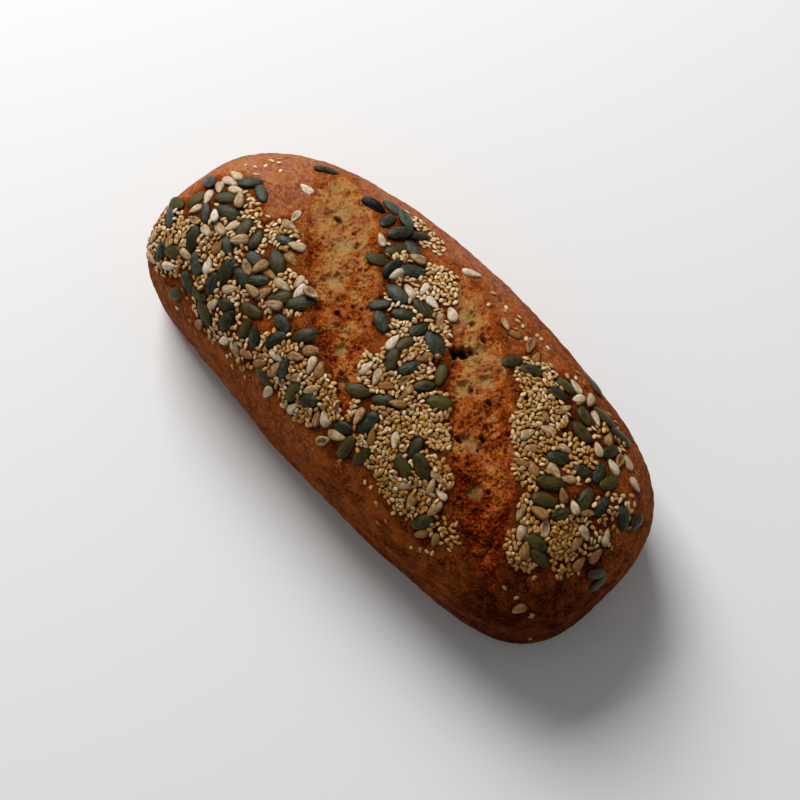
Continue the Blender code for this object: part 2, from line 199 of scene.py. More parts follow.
# The torn crumb's relief: the spacing of each of its forms, and how high or deep they are
CRAG_SPACING = 8 * MM
SHRED_SPACING, SHRED_HEIGHT = 4.5 * MM, 2.4 * MM
FIBRE_SPACING, FIBRE_HEIGHT = 2.1 * MM, 1.2 * MM
BUBBLE_SPACING, BUBBLE_HEIGHT = 1.3 * MM, 0.8 * MM
PORE_SPACING, PORE_DEPTH = 11 * MM, 1.4 * MM
PORE_SIZES = (0.11, 0.05)  # where a pore starts and is deepest, in spacings from its middle
RIDGE_LEVEL, BUBBLE_LEVEL = 0.30, 0.40  # the level of each noise that counts as neither high nor low
HIGHEST_SHRED = 1.8 * MM  # no shred stands further off the loaf's smooth form
CRUST_LOST = 0.7  # how much of the crust's unevenness the torn crumb lacks
LIP_SHADOW_PLACE, LIP_SHADOW_REACH, LIP_SHADOW_DARKENING = 0.5 * MM, 1.6 * MM, 0.24  # painted shadow of the left lip on the rim inside a left edge: where it is darkest, how wide it is and how dark
PIT_SHADE_DEPTH, PORE_SHADE_DEPTH = 4.5 * MM, 3 * MM  # how deep a pit and a pore are where their painted shade is darkest
# How much more torn fibres look for their height, how much paler they are painted for it (a painted highlight
# on raised grains and painted shade between them), and how much more toasted shreds do
FIBRE_TORN, FIBRE_PAINTED_LIGHT_AND_SHADE, SHRED_TOASTED = 0.3 / MM, -0.40 / MM, 0.25
SMOOTHED = 0.6  # how much of the relief a hollow lacks
HOLLOW_SOFTNESS, PIT_SOFTNESS = 0.35, 0.30  # the share of its reach over which each is fully deep
WOBBLE, WOBBLE_SPACING = 0.35, 3 * MM  # how far from round hollows and pits are

# Where seeds lie: the patch's middle, its reach along X and across Y, in millimetres, and how many it holds
PUMPKIN_PATCHES = (
    (-126, -32, 4, 6, 2),
    (-114, -16, 12, 10, 5),
    (-114, -40, 12, 8, 3),
    (-84, -14, 18, 12, 6),
    (-96, -47, 18, 9, 5),
    (-72, -40, 16, 12, 7),
    (-50, -34, 16, 16, 7),
    (-26, -50, 14, 6, 4),
    (-101, 2, 7, 5, 2),
    (-90, 36, 3, 3, 1),
    (-46, 40, 14, 6, 6),
    (-30, 26, 10, 10, 5),
    (-13, 8, 9, 14, 5),
    (4, -2, 12, 13, 5),
    (22, -8, 10, 9, 3),
    (12, -33, 10, 8, 3),
    (18, -48, 8, 5, 3),
    (45, -34, 6, 8, 3),
    (64, -48, 3, 2, 1),
    (45, 28, 5, 5, 2),
    (62, 38, 5, 6, 2),
    (88, 34, 12, 10, 5),
    (92, 8, 8, 9, 3),
    (108, 14, 10, 9, 4),
    (125, 18, 5, 6, 2),
    (100, -6, 6, 5, 2),
    (110, -22, 6, 4, 2),
    (132, -10, 4, 6, 2),
    (70, 53, 2, 2, 1),
)
SUNFLOWER_PATCHES = (
    (-78, 4, 5, 3, 2),
    (-86, 17, 3, 3, 1),
    (-67, -8, 5, 5, 2),
    (-112, -10, 12, 12, 6),
    (-103, -22, 14, 8, 7),
    (-116, -46, 12, 6, 4),
    (-90, -34, 20, 8, 5),
    (-67, -26, 14, 8, 6),
    (-66, -52, 20, 5, 5),
    (-48, -20, 8, 6, 3),
    (-24, -36, 10, 5, 4),
    (-28, -50, 18, 8, 7),
    (2, -52, 12, 5, 4),
    (-8, 45, 4, 3, 1),
    (-30, 28, 14, 10, 3),
    (-4, 18, 10, 10, 5),
    (6, -4, 10, 12, 3),
    (10, -20, 12, 9, 5),
    (20, -36, 10, 6, 3),
    (34, 40, 14, 2, 4),
    (54, -40, 14, 8, 6),
    (68, -50, 8, 3, 2),
    (76, 38, 14, 5, 4),
    (78, 22, 10, 12, 4),
    (72, 4, 10, 8, 3),
    (104, 30, 14, 8, 6),
    (98, 6, 16, 12, 6),
    (122, -4, 7, 14, 5),
    (102, -20, 12, 10, 5),
    (118, -43, 3, 3, 1),
)
SESAME_PATCHES = (
    (-75, -5, 8, 6, 30),
    (-110, 14, 10, 12, 9),
    (-98, -9, 14, 10, 22),
    (-92, -18, 14, 8, 30),
    (-100, -34, 16, 9, 84),
    (-114, -45, 14, 7, 60),
    (-122, -38, 8, 10, 24),
    (-66, -50, 26, 7, 60),
    (-80, -38, 14, 10, 36),
    (-54, -24, 12, 10, 26),
    (-34, -44, 12, 9, 90),
    (-14, -46, 14, 10, 130),
    (0, -40, 8, 8, 20),
    (-38, 45, 16, 5, 40),
    (-8, 32, 12, 7, 60),
    (-28, 26, 10, 8, 16),
    (-8, 14, 14, 9, 60),
    (4, 6, 12, 12, 60),
    (12, -8, 14, 8, 40),
    (2, -22, 10, 8, 40),
    (24, -24, 14, 9, 100),
    (33, -11, 6, 6, 26),
    (42, -20, 7, 5, 34),
    (54, -32, 8, 5, 34),
    (32, -38, 18, 10, 170),
    (48, -44, 16, 8, 70),
    (72, -46, 10, 5, 24),
    (54, 31, 10, 8, 70),
    (66, 22, 10, 9, 60),
    (72, 10, 12, 8, 70),
    (82, 0, 8, 8, 30),
    (90, 16, 10, 10, 36),
    (88, 38, 16, 8, 20),
    (104, -12, 14, 9, 100),
    (104, -27, 8, 7, 36),
    (118, 8, 10, 16, 46),
    (120, -16, 6, 8, 16),
    (26, 46, 50, 6, 16),
    (45, -57, 50, 4, 12),
    (-66, -58, 40, 2, 8),
    (118, -40, 12, 10, 6),
)
RANDOM_SEED = 11
MOST_TRIES = 160  # draws for one seed before its patch takes no more
BED_CELL = 0.4 * MM
BED_REACH = (146 * MM, 72 * MM)
# How each kind lies: how much of a seed may lie on others, how much of it sinks into the crust, how far its
# middle may lie inside a torn edge, and how many random places it has to choose the emptiest from
LAYING = {
    "pumpkin": (0.10, 0.40, 1.4 * MM, 7),
    "sunflower": (0.20, 0.38, 0.8 * MM, 5),
    "sesame": (0.24, 0.32, 1.5 * MM, 1),
}
MORE_OVERLAP = 0.6  # how much more of a seed may lie on others as its tries run out
COVERED = 0.3 * MM  # a cell under higher seeds than this counts as taken
PATCH_REACHES = (0.7, 1.2)  # how far a patch's reach shrinks or grows from seed to seed
# How seeds of a kind vary: their size, length, width and the bend along them
SIZES, LENGTHS, WIDTHS, CURLS = (-0.13, 0.13), (0.92, 1.06), (0.92, 1.08), (-0.10, 0.12)
FEEL_LENGTH, FEEL_WIDTH = 0.36, 0.32  # where a seed feels for what lies under it, in shares of its size
UNEVEN_PITCH, UNEVEN_LEAN = 0.05, 0.07  # how unevenly seeds lie, in radians
MOST_PITCH, MOST_LEAN = 0.5, 1.2  # no seed is tilted further, in radians
ON_BARE_CRUST = 0.6 * MM  # a seed that rests lower than this sinks into the crust
NESTLED = 0.10  # how much of its thickness a seed nestles into what is under it
ON_EDGE = 0.04  # share of pumpkin kernels that baked in standing on their edge
EDGE_LEAN = 0.9  # how far those lean over, in radians
BLACK_KERNEL_PLACE = (-60 * MM, 37 * MM)  # the pumpkin kernel nearest to this place is drawn black, and on edge
BLACK_KERNEL_SHADE = 1.4  # how far its skin goes to the colour of the rim
SPLIT_EVERY = 13  # one sunflower kernel in so many is split, with a rim round a hollow darkened with painted shade
SPLIT_DEPTH, SPLIT_SHADE = 0.35, 0.6  # how deep that hollow is in thicknesses, and how dark its painted shade is
SPLIT_MIDDLE, SPLIT_NARROWNESS = -0.04, 1.3  # where it lies along the kernel, and how narrow it is across
SPLIT_EDGE = (0.36, 0.2)  # where it starts and is deepest, in lengths from its middle
SHADE_AMONG_SEEDS_REACH = 4 * MM  # how far round the seeds that it holds the crust is darkened with painted shade
SHADE_AMONG_SEEDS_COVER = 0.2 * MM  # how high seeds stand on a cell that they darken with painted shade
SHADE_AMONG_SEEDS_SHARES = (0.15, 0.75)  # the shares of such cells where the painted shade starts and where it is full
# A seed's tone, from pale to dark: how far it varies, how far it follows the oven's heat, and where it starts
TONE_SPREAD, TONE_BAKED, TONE_LEAST = 0.9, 1.1, -0.28
GRAIN_PLACES, GRAIN_STEP = 40, 23 * MM  # from how many places the seeds' grain is taken, and how far apart
# How many faces a seed of each kind has from tip to tip, and as many round it
SEED_FACES = {"pumpkin": 22, "sunflower": 18, "sesame": 8}
# Each kind's skin: roughness, specular level, depth of the streaks, and flecks to a metre
SEED_SKINS = {
    "pumpkin": (0.4, 0.19, 0.35 * MM, 260.0),
    "sunflower": (0.5, 0.14, 0.3 * MM, 320.0),
    "sesame": (0.5, 0.14, 0.08 * MM, 500.0),
}
SEED_SHADE_STRENGTH = 0.72  # how far a seed's rim goes to its own colour, a painted contact shade where the seed meets what is under it

# The flecks of crust and crumb: how many to a metre, and the share of the surface that they cover
FLECKS = {
    "broad": (130.0, 0.43),
    "ripe": (240.0, 0.50),
    "bran": (480.0, 0.36),
    "specks": (900.0, 0.38),
    "dust": (1500.0, 0.36),
}
BREAD_ROUGHNESS, CRUMB_ROUGHER, BREAD_SPECULAR = 0.5, 0.2, 0.004
SKIN_GRAIN, CRUMB_GRAIN = 640.0, 800.0  # grains to a metre
SKIN_GRAIN_SHARE = 0.32  # how high the skin's grain is beside the crumb's
BREAD_BUMP = 1.6 * MM
FLOAT, COLOUR, VECTOR = "NodeSocketFloat", "NodeSocketColor", "NodeSocketVector"

# The camera, as the photograph's: its bearing and height round a point in the loaf, and where that shows
VIEW_AZIMUTH = math.radians(46.04)
VIEW_ELEVATION = math.radians(70)
VIEW_DISTANCE = 0.7
VIEW_POINT = Vector((0, 0, 40 * MM))
VIEW_LENS, VIEW_SENSOR = 66.15, 36
POINT_RIGHT, POINT_UP = 1.7 * MM, 12.4 * MM
FLOOR_REACH = 3
LIGHT_PLACE, LIGHT_SIZE = (-1.34, 0.53, 1.39), 1.0  # the one large soft light


def rgb(red, green, blue):
    """A colour given as its display values from 0 to 255, as the shader's own values."""
    display = np.array((red, green, blue)) / 255
    linear = np.where(display <= 0.04045, display / 12.92, ((display + 0.055) / 1.055) ** 2.4)
    return tuple(float(part) for part in linear)


def length_property(name, description, default):
    """A size in metres, shown in the scene's units."""
    return FloatProperty(
        name=name, description=description, default=default, min=0, precision=4, unit="LENGTH"
    )


def size_property(*default):
    """A seed's length, width and thickness."""
    return FloatVectorProperty(
        name="Size",
        description="Length, width, thickness",
        default=default,
        min=0,
        precision=4,
        unit="LENGTH",
    )


def colour_property(name, description, *display):
    """A colour without alpha, given as its display values from 0 to 255."""
    return FloatVectorProperty(
        name=name, description=description, default=rgb(*display), size=3, min=0, max=1, subtype="COLOR"
    )


class LoafShape(bpy.types.PropertyGroup):
    """The loaf's own sizes."""

    length: length_property("Length", "From end to end", LOAF_LENGTH)
    width: length_property("Width", "Across the middle", LOAF_WIDTH)
    height: length_property("Height", "From the base to the crown, without seeds", 86 * MM)
    waist: length_property("Waist", "Height at which the sides stand out furthest", 34 * MM)


class CrustLooks(bpy.types.PropertyGroup):
    """The baked crust."""

    # the pink of Pale and Rosy is partly the crust's own colour and partly a painted sheen on the least baked
    # side
    pale: colour_property("Pale", "Where the crust baked least", 184, 126, 86)
    rosy: colour_property("Rosy", "Blotches that stayed pinkish", 176, 104, 88)
    amber: colour_property("Amber", "Blotches that browned to orange", 180, 92, 34)
    brown: colour_property("Brown", "Most of the crust", 140, 64, 16)
    # Dark also paints the shade in the torn crumb's pits and pores
    dark: colour_property("Dark", "Where the crust baked most", 49, 10, 5)
    lip: length_property("Lip", "How far the crust lifts along a slash's left edge", 0.6 * MM)


class CrumbLooks(bpy.types.PropertyGroup):
    """The crumb torn open in the slashes."""

    cream: colour_property("Cream", "Smooth pockets that hardly browned", 236, 190, 114)
    golden: colour_property("Golden", "Most of the torn crumb", 252, 184, 104)
    rosy: colour_property("Rosy", "Blotches that stayed pinkish", 222, 122, 84)
    toasted: colour_property("Toasted", "Where it browned", 222, 106, 28)
    # Burnt: the crumb's darkest toast, which also paints the shade in its crevices and under the left lip
    burnt: colour_property("Burnt", "Its edges and crevices", 126, 38, 9)
    left_drop: length_property("Left drop", "Depth along the left edge", 0.8 * MM)
    right_drop: length_property("Right drop", "Depth along the right edge", 0.3 * MM)
    middle_drop: length_property("Middle drop", "Depth in the middle", 0.2 * MM)
    crag: length_property("Crags", "Height of the large crags", 2.2 * MM)


class PumpkinSeeds(bpy.types.PropertyGroup):
    """Hulled pumpkin kernels."""

    size: size_property(12.2 * MM, 6.5 * MM, 3.0 * MM)
    pale: colour_property("Grey", "Grey kernels", 72, 75, 62)
    brown: colour_property("Green", "Dark green kernels", 24, 28, 13)
    dark: colour_property("Olive", "Toasted olive kernels", 72, 61, 16)
    # Rim: painted contact shade where a kernel meets the crust
    rim: colour_property("Rim", "Where a kernel meets the crust", 12, 9, 2)


class SunflowerSeeds(bpy.types.PropertyGroup):
    """Hulled sunflower kernels."""

    size: size_property(8.6 * MM, 4.7 * MM, 2.5 * MM)
    pale: colour_property("Pale", "Grey-white kernels", 226, 212, 194)
    brown: colour_property("Middle", "Beige kernels", 188, 159, 119)
    dark: colour_property("Dark", "Toasted kernels", 138, 93, 40)
    # Rim: painted contact shade where a kernel meets the crust
    rim: colour_property("Rim", "Where a kernel meets the crust", 56, 26, 6)


class SesameSeeds(bpy.types.PropertyGroup):
    """Hulled sesame seeds."""

    size: size_property(3.05 * MM, 2.0 * MM, 0.95 * MM)
    pale: colour_property("Pale", "Cream seeds", 234, 206, 166)
    brown: colour_property("Middle", "Tan seeds", 212, 174, 118)
    dark: colour_property("Dark", "Golden toasted seeds", 168, 112, 36)
    # Rim: painted contact shade where a seed meets the crust
    rim: colour_property("Rim", "Where a seed meets the crust", 54, 20, 4)


class StageLooks(bpy.types.PropertyGroup):
    """The plain floor and the soft studio light."""

    floor: colour_property("Floor", "Pale floor", 240, 240, 239)
    key: FloatProperty(
        name="Key light", description="Power of the large soft light", default=43, min=0, unit="POWER"
    )
    fill: FloatProperty(
        name="Fill light", description="Strength of light from all round", default=0.21, min=0
    )


@functools.cache
def ragged_line(start, end, side):
    """Samples along a slash, and how far one torn edge strays there."""
    along = np.linspace(start - 2 * MARGIN, end + 2 * MARGIN, EDGE_SAMPLES)
    line = np.stack((along, np.full_like(along, side), np.zeros_like(along)), axis=1)
    return along, sum(reach * noise_at(line, spacing, i * 3.1) for i, (spacing, reach) in enumerate(RAGGED))


def smooth_step(low, high, value):
    """0 before low, 1 after high, and a smooth rise between."""
    share = np.clip((value - low) / (high - low), 0.0, 1.0)
    return share * share * (3 - 2 * share)


def noise_at(points, spacing, shift=0.0):
    """Smooth noise from about -1 to 1 at each point, with bumps about a spacing apart."""
    places = (np.asarray(points) / spacing + shift).tolist()
    return np.fromiter((noise.noise(place) for place in places), float, len(places))


def cells_at(points, spacing, shift=0.0):
    """How far each point is from the nearest of many scattered centres, in spacings."""
    places = (np.asarray(points) / spacing + shift).tolist()
    return np.fromiter((noise.voronoi(place)[0][0] for place in places), float, len(places))


class LoafForm:
    """The loaf's smooth form. Its methods take arrays of places in the model's frame."""

    def __init__(self, shape):
        self.half_length = shape.length / 2
        self.half_width = shape.width / 2
        self.height = shape.height
        self.waist = shape.waist

    def outline_share(self, x, y):
        """How far (x, y) is towards the waist's outline: 0 in the middle, 1 on the outline."""
        along = np.abs(x) / self.half_length
        across = y - BEND * along * along
        blend_y, blend_x = QUARTER_BLEND * self.half_width, QUARTER_BLEND * self.half_length
        near = smooth_step(blend_y, -blend_y, across)
        right = smooth_step(-blend_x, blend_x, x)
        near_power = NEAR_LEFT + (NEAR_RIGHT - NEAR_LEFT) * right
        far_power = FAR_LEFT + (FAR_RIGHT - FAR_LEFT) * right
        power = far_power + (near_power - far_power) * near
        belly = 1 - BELLY * np.minimum(along, END_REACH) ** BELLY_CURVE
        width = self.half_width * belly * (1 + TAPER * x / self.half_length)
        return along**power + (np.abs(across) / width) ** SIDE_SQUARENESS

    def crown(self, x):
        """The crown's height above the waist at x."""
        along = np.minimum(np.abs(x) / self.half_length, END_REACH)
        return (self.height - self.waist) * (1 - CREST_FALL * along * along)

    def fullness(self, points):
        """Under 1 inside the loaf and over 1 outside it."""
        x, y, z = points.T
        rise = z - self.waist
        above = (np.maximum(rise, 0) / self.crown(x)) ** CROWN_SQUARENESS
        below = (np.maximum(-rise, 0) / (self.waist * BASE_REACH)) ** BASE_SQUARENESS
        return self.outline_share(x, y) + above + below

    def top(self, x, y):
        """The height of the crust above (x, y)."""
        left = np.maximum(1 - self.outline_share(x, y), 0.0)
        return self.waist + self.crown(x) * left ** (1 / CROWN_SQUARENESS)

    def top_normal(self, x, y):
        """The crust's outward directions above (x, y)."""
        rise_x = self.top(x + SLOPE_STEP, y) - self.top(x - SLOPE_STEP, y)
        rise_y = self.top(x, y + SLOPE_STEP) - self.top(x, y - SLOPE_STEP)
        normal = np.stack((-rise_x, -rise_y, np.full_like(rise_x, 2 * SLOPE_STEP)), axis=-1)
        return normal / np.linalg.norm(normal, axis=-1, keepdims=True)

    def cast_out(self, centre, directions):
        """Where rays from a centre leave the loaf."""
        inner, outer = np.zeros(len(directions)), np.full(len(directions), CASTING_REACH)
        for _ in range(CASTING_STEPS):
            middle = (inner + outer) / 2
            inside = self.fullness(centre + directions * middle[:, None]) < 1
            inner = np.where(inside, middle, inner)
            outer = np.where(inside, outer, middle)
        return centre + directions * inner[:, None]

    def wrap(self, cube):
        """Where points on the surface of a cube with corners at -1 and 1 go on the loaf."""
        u, v, w = cube.T
        flat = np.zeros_like(u)
        waist = np.array((0, 0, self.waist))
        outward = np.stack((u * self.half_length, v * self.half_width, flat), axis=1)
        rim = self.cast_out(np.zeros(3), outward)
        crown = (self.height - self.waist) * SHOULDER[2]
        upward = np.stack((outward[:, 0] * SHOULDER[0], outward[:, 1] * SHOULDER[1], flat + crown), axis=1)
        share = ((w + 1) / 2)[:, None]
        return self.cast_out(waist, (rim - waist) * (1 - share) + upward * share)


def plan_to_slash(slash, x, y):
    """Places along and across a slash's line."""
    cos, sin = math.cos(slash["turn"]), math.sin(slash["turn"])
    dx, dy = x - slash["middle"][0], y - slash["middle"][1]
    return dx * cos + dy * sin, dy * cos - dx * sin


def slash_to_plan(slash, along, across):
    """The (x, y) of places given along and across a slash's line."""
    cos, sin = math.cos(slash["turn"]), math.sin(slash["turn"])
    x, y = slash["middle"]
    return x + along * cos - across * sin, y + along * sin + across * cos


def torn_edge(slash, side, along):
    """How far one ragged edge of a slash lies from its line."""
    reach, peak, before, after = slash[side]
    early = np.clip((peak - along) / (peak - slash["start"]), 0.0, 1.0) ** before
    late = np.clip((along - peak) / (slash["end"] - peak), 0.0, 1.0) ** after
    open_share = np.where(along < peak, 1 - early, 1 - late)
    strays = np.interp(along, *ragged_line(slash["start"], slash["end"], reach))
    return reach * open_share + strays * np.minimum(2 * open_share, 1)


def from_edges(slash, x, y):
    """Places along a slash from -1 to 1, and how far they lie inside its left and right edges."""
    along, across = plan_to_slash(slash, x, y)
    half = (slash["end"] - slash["start"]) / 2
    centred = (along - slash["start"] - half) / half
    return centred, across - torn_edge(slash, "left", along), torn_edge(slash, "right", along) - across


def slash_depth_inside(slash, x, y):
    """How far places lie inside a slash: positive within its edges and negative outside them."""
    centred, from_left, from_right = from_edges(slash, x, y)
    from_tips = (1 - np.abs(centred)) * (slash["end"] - slash["start"]) / 2
    return np.minimum(np.minimum(from_left, from_right), from_tips)


def lip_rise(slash, x, y):
    """How far the crust lifts along the edges of a slash."""
    centred, from_left, from_right = from_edges(slash, x, y)
    left = np.exp(-(((from_left + LIP_SETBACK) / LIP_REACH) ** 2))
    right = np.exp(-(((from_right + LIP_SETBACK) / LIP_REACH) ** 2))
    lift = bpy.context.scene.crust_looks.lip
    return lift * np.maximum(left, RIGHT_LIP * right) * smooth_step(1.02, 0.85, np.abs(centred))


def crust_rise(points):
    """How far the real crust stands off the smooth form."""
    lumps = sum(height * noise_at(points, spacing, i * 7.3) for i, (spacing, height) in enumerate(LUMPS))
    return lumps + sum(lip_rise(slash, points[:, 0], points[:, 1]) for slash in SLASHES)


def cut_cube(name, cuts):
    """A cube from -1 to 1 with a grid on its top and sides and one face as its base."""
    mesh = bpy.data.meshes.new(name)
    grid = bmesh.new()
    bmesh.ops.create_cube(grid, size=2)
    for axis, faces in enumerate(cuts):
        along = [e for e in grid.edges if abs(e.verts[0].co[axis] - e.verts[1].co[axis]) > 1.5]
        bmesh.ops.subdivide_edges(grid, edges=along, cuts=faces - 1, use_grid_fill=True)
    base = [f for f in grid.faces if all(v.co.z < -1 + 1e-4 for v in f.verts)]
    bmesh.ops.delete(grid, geom=base, context="FACES")
    bmesh.ops.edgeloop_fill(grid, edges=[e for e in grid.edges if e.is_boundary])
    bmesh.ops.recalc_face_normals(grid, faces=grid.faces)
    grid.to_mesh(mesh)
    grid.free()
    return mesh


def points_of(mesh, kind="co"):
    """A mesh's points, or another triple that each holds, as an array."""
    flat = np.empty(len(mesh.vertices) * 3, np.float32)
    mesh.vertices.foreach_get(kind, flat)
    return flat.reshape(-1, 3).astype(float)


def move_points(mesh, points):
    """Puts a mesh's points where the array says."""
    mesh.vertices.foreach_set("co", points.astype(np.float32).ravel())
    mesh.update()


def note(mesh, name, values):
    """Stores a value or a vector for each point, which the materials read by its name."""
    vector = values.ndim == 2
    layer = mesh.attributes.new(name, "FLOAT_VECTOR" if vector else "FLOAT", "POINT")
    layer.data.foreach_set("vector" if vector else "value", values.astype(np.float32).ravel())


def show_piece(name, mesh, material):
    """Makes a mesh a piece of the loaf, in place of the plain solid."""
    mesh.materials.append(material)
    piece = bpy.data.objects.new(name, mesh)
    bpy.context.scene.collection.objects.link(piece)
    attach(piece, "root")
    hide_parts("loaf")


def patchiness(points, patches):
    """How much more or less each point is baked than those round it."""
    return sum(noise_at(points, spacing, shift) * strength for spacing, shift, strength in patches)


def oven_heat(points):
    """How strongly the oven baked each point: more on the near side, low down and towards the +X end."""
    x, y, z = points.T
    near = smooth_step(*NEAR_SIDE, y)
    right = smooth_step(*RIGHT_SIDE, x)
    low = smooth_step(*LOW_SIDE, z)
    end = smooth_step(*RIGHT_END, x)
    heat = HEAT_ALL_OVER + HEAT_NEAR * near + HEAT_RIGHT * right
    heat += (HEAT_LOW + HEAT_LOW_NEAR * near) * low
    heat += HEAT_NEAR_RIGHT * near * right
    return heat + (HEAT_END + HEAT_END_NEAR * near) * end


def baking(points):
    """How dark the crust is at each point: baked by the oven in patches, darker by the slashes, partly as
    painted crease shade, and darker with painted shade among the seeds.
    """
    x, y, z = points.T
    oven = oven_heat(points)
    patches = patchiness(points, CRUST_PATCHES) * np.clip(1.15 - oven, 0.15, 1)
    # by the slashes the crust is darkened, partly with painted crease shade and partly by real browning
    outside = np.minimum(*(np.abs(slash_depth_inside(slash, x, y)) for slash in SLASHES))
    # painted shade: the crust darkened where seeds lie thickly round it
    local = SHADE_AMONG_SEEDS * shade_among_seeds_at(x, y) + SLASH_SHADE_AND_BROWNING * np.exp(-((outside / SLASH_SHADE_AND_BROWNING_REACH) ** 2))
    return np.clip(oven + patches + local * (z > CAD_BOX[1].z / 2), 0, 1.1)


def wandering(points, spacing):
    """A share from 0.1 to 1 that wanders from place to place."""
    return np.clip(0.5 + noise_at(points, spacing, 11.0), 0.1, 1.0)


def crumb_share(slash, points):
    """Where the crust of a slash is torn open, from 0 to 1. Along the right it frays out over the edge."""
    centred, from_left, from_right = from_edges(slash, points[:, 0], points[:, 1])
    wander = wandering(points, 5 * MM)
    soft = smooth_step(*SOFT_STRETCH, centred)
    left = smooth_step(0, 1, from_left / (LEFT_WALL + SOFT_WALL * soft * wander))
    right = smooth_step(-STRAY_CRUMB * wander, STRAY_CRUMB * (0.2 + wander), from_right)
    ends = smooth_step(1.0, 0.94, np.abs(centred)) * smooth_step(0, 4 * MM, from_left + from_right)
    return left * right * ends


def browning(slash, points):
    """How far the torn crumb of a slash browned: more along its edges, along the left one partly as painted
    shade under the lip, and as the crust round it.
    """
    x, y = points[:, 0], points[:, 1]
    centred, from_left, from_right = from_edges(slash, x, y)
    # along the left edge this darkening is partly painted shade under the lip and partly real browning
    edge = np.exp(-((from_left / SHADE_AND_BROWN_LEFT) ** 2)) * smooth_step(*SOFT_STRETCH[::-1], centred)
    edge += BROWN_RIGHT_SHARE * np.exp(-((np.maximum(from_right, 0) / BROWN_RIGHT) ** 2))
    oven = CRUMB_NEAR * smooth_step(*CRUMB_NEAR_SIDE, y) + CRUMB_RIGHT * smooth_step(*CRUMB_RIGHT_SIDE, x)
    return CRUMB_ALL_OVER + CRUMB_EDGES * edge + patchiness(points, CRUMB_PATCHES) + oven


@functools.cache
def shade_among_seeds_map():
    """How thickly seeds lie round each cell of the bed, which sets the painted shade among them."""
    bed = laid_seeds()[1]
    cells = int(SHADE_AMONG_SEEDS_REACH / BED_CELL)
    spread = (bed.height > SHADE_AMONG_SEEDS_COVER).astype(float)
    for _ in range(2):
        for axis in (0, 1):
            total = np.cumsum(spread, axis=axis)
            spread = (np.roll(total, -cells, axis) - np.roll(total, cells, axis)) / (2 * cells)
            edge = [slice(None), slice(None)]
            edge[axis] = np.r_[0:cells, -cells:0]
            spread[tuple(edge)] = 0
    return bed, np.clip(spread, 0, 1)


def shade_among_seeds_at(x, y):
    """The share of painted shade among the seeds at some places, from how thickly they lie there."""
    bed, spread = shade_among_seeds_map()
    return smooth_step(*SHADE_AMONG_SEEDS_SHARES, bed.at(spread, x, y))


def crust_mesh(form):
    """The whole crust, uneven as baked, and sunk out of sight under the slashes."""
    mesh = cut_cube("loaf_crust", CRUST_CUTS)
    points = form.wrap(points_of(mesh))
    move_points(mesh, points)
    normals = points_of(mesh, "normal")
    above = points[:, 2] > form.waist
    rise = crust_rise(points) * smooth_step(0, FOOT, points[:, 2])
    crumb, toast = np.zeros(len(points)), np.zeros(len(points))
    for slash in SLASHES:
        inside = slash_depth_inside(slash, points[:, 0], points[:, 1])
        rise -= SINK * smooth_step(*SINK_STRETCH, inside) * above
        share = crumb_share(slash, points) * above
        toast = np.where(share > crumb, browning(slash, points), toast)
        crumb = np.maximum(crumb, share)
    note(mesh, "bake", baking(points))
    note(mesh, "crumb", crumb)
    note(mesh, "toast", np.clip(toast, 0, 1))
    for name in ("hollow", "pit"):
        note(mesh, name, np.zeros(len(points)))
    move_points(mesh, points + normals * rise[:, None])
    mesh.shade_smooth()
    mesh.set_sharp_from_angle(angle=BASE_CREASE)
    return mesh


def pocket(x, y, places, soft):
    """1 in the middle of each pocket and 0 outside it, and how deep it goes."""
    mask, depth = np.zeros_like(x), np.zeros_like(x)
    wobble = noise_at(np.stack((x, y, x * 0), axis=1), WOBBLE_SPACING, 2.0) * WOBBLE
    for middle_x, middle_y, reach_x, reach_y, deep in np.array(places) * MM:
        away = np.hypot((x - middle_x) / reach_x, (y - middle_y) / reach_y) + wobble
        share = 1 - smooth_step(soft, 1.0, away)
        mask = np.maximum(mask, share)
        depth = np.maximum(depth, share * deep)
    return mask, depth


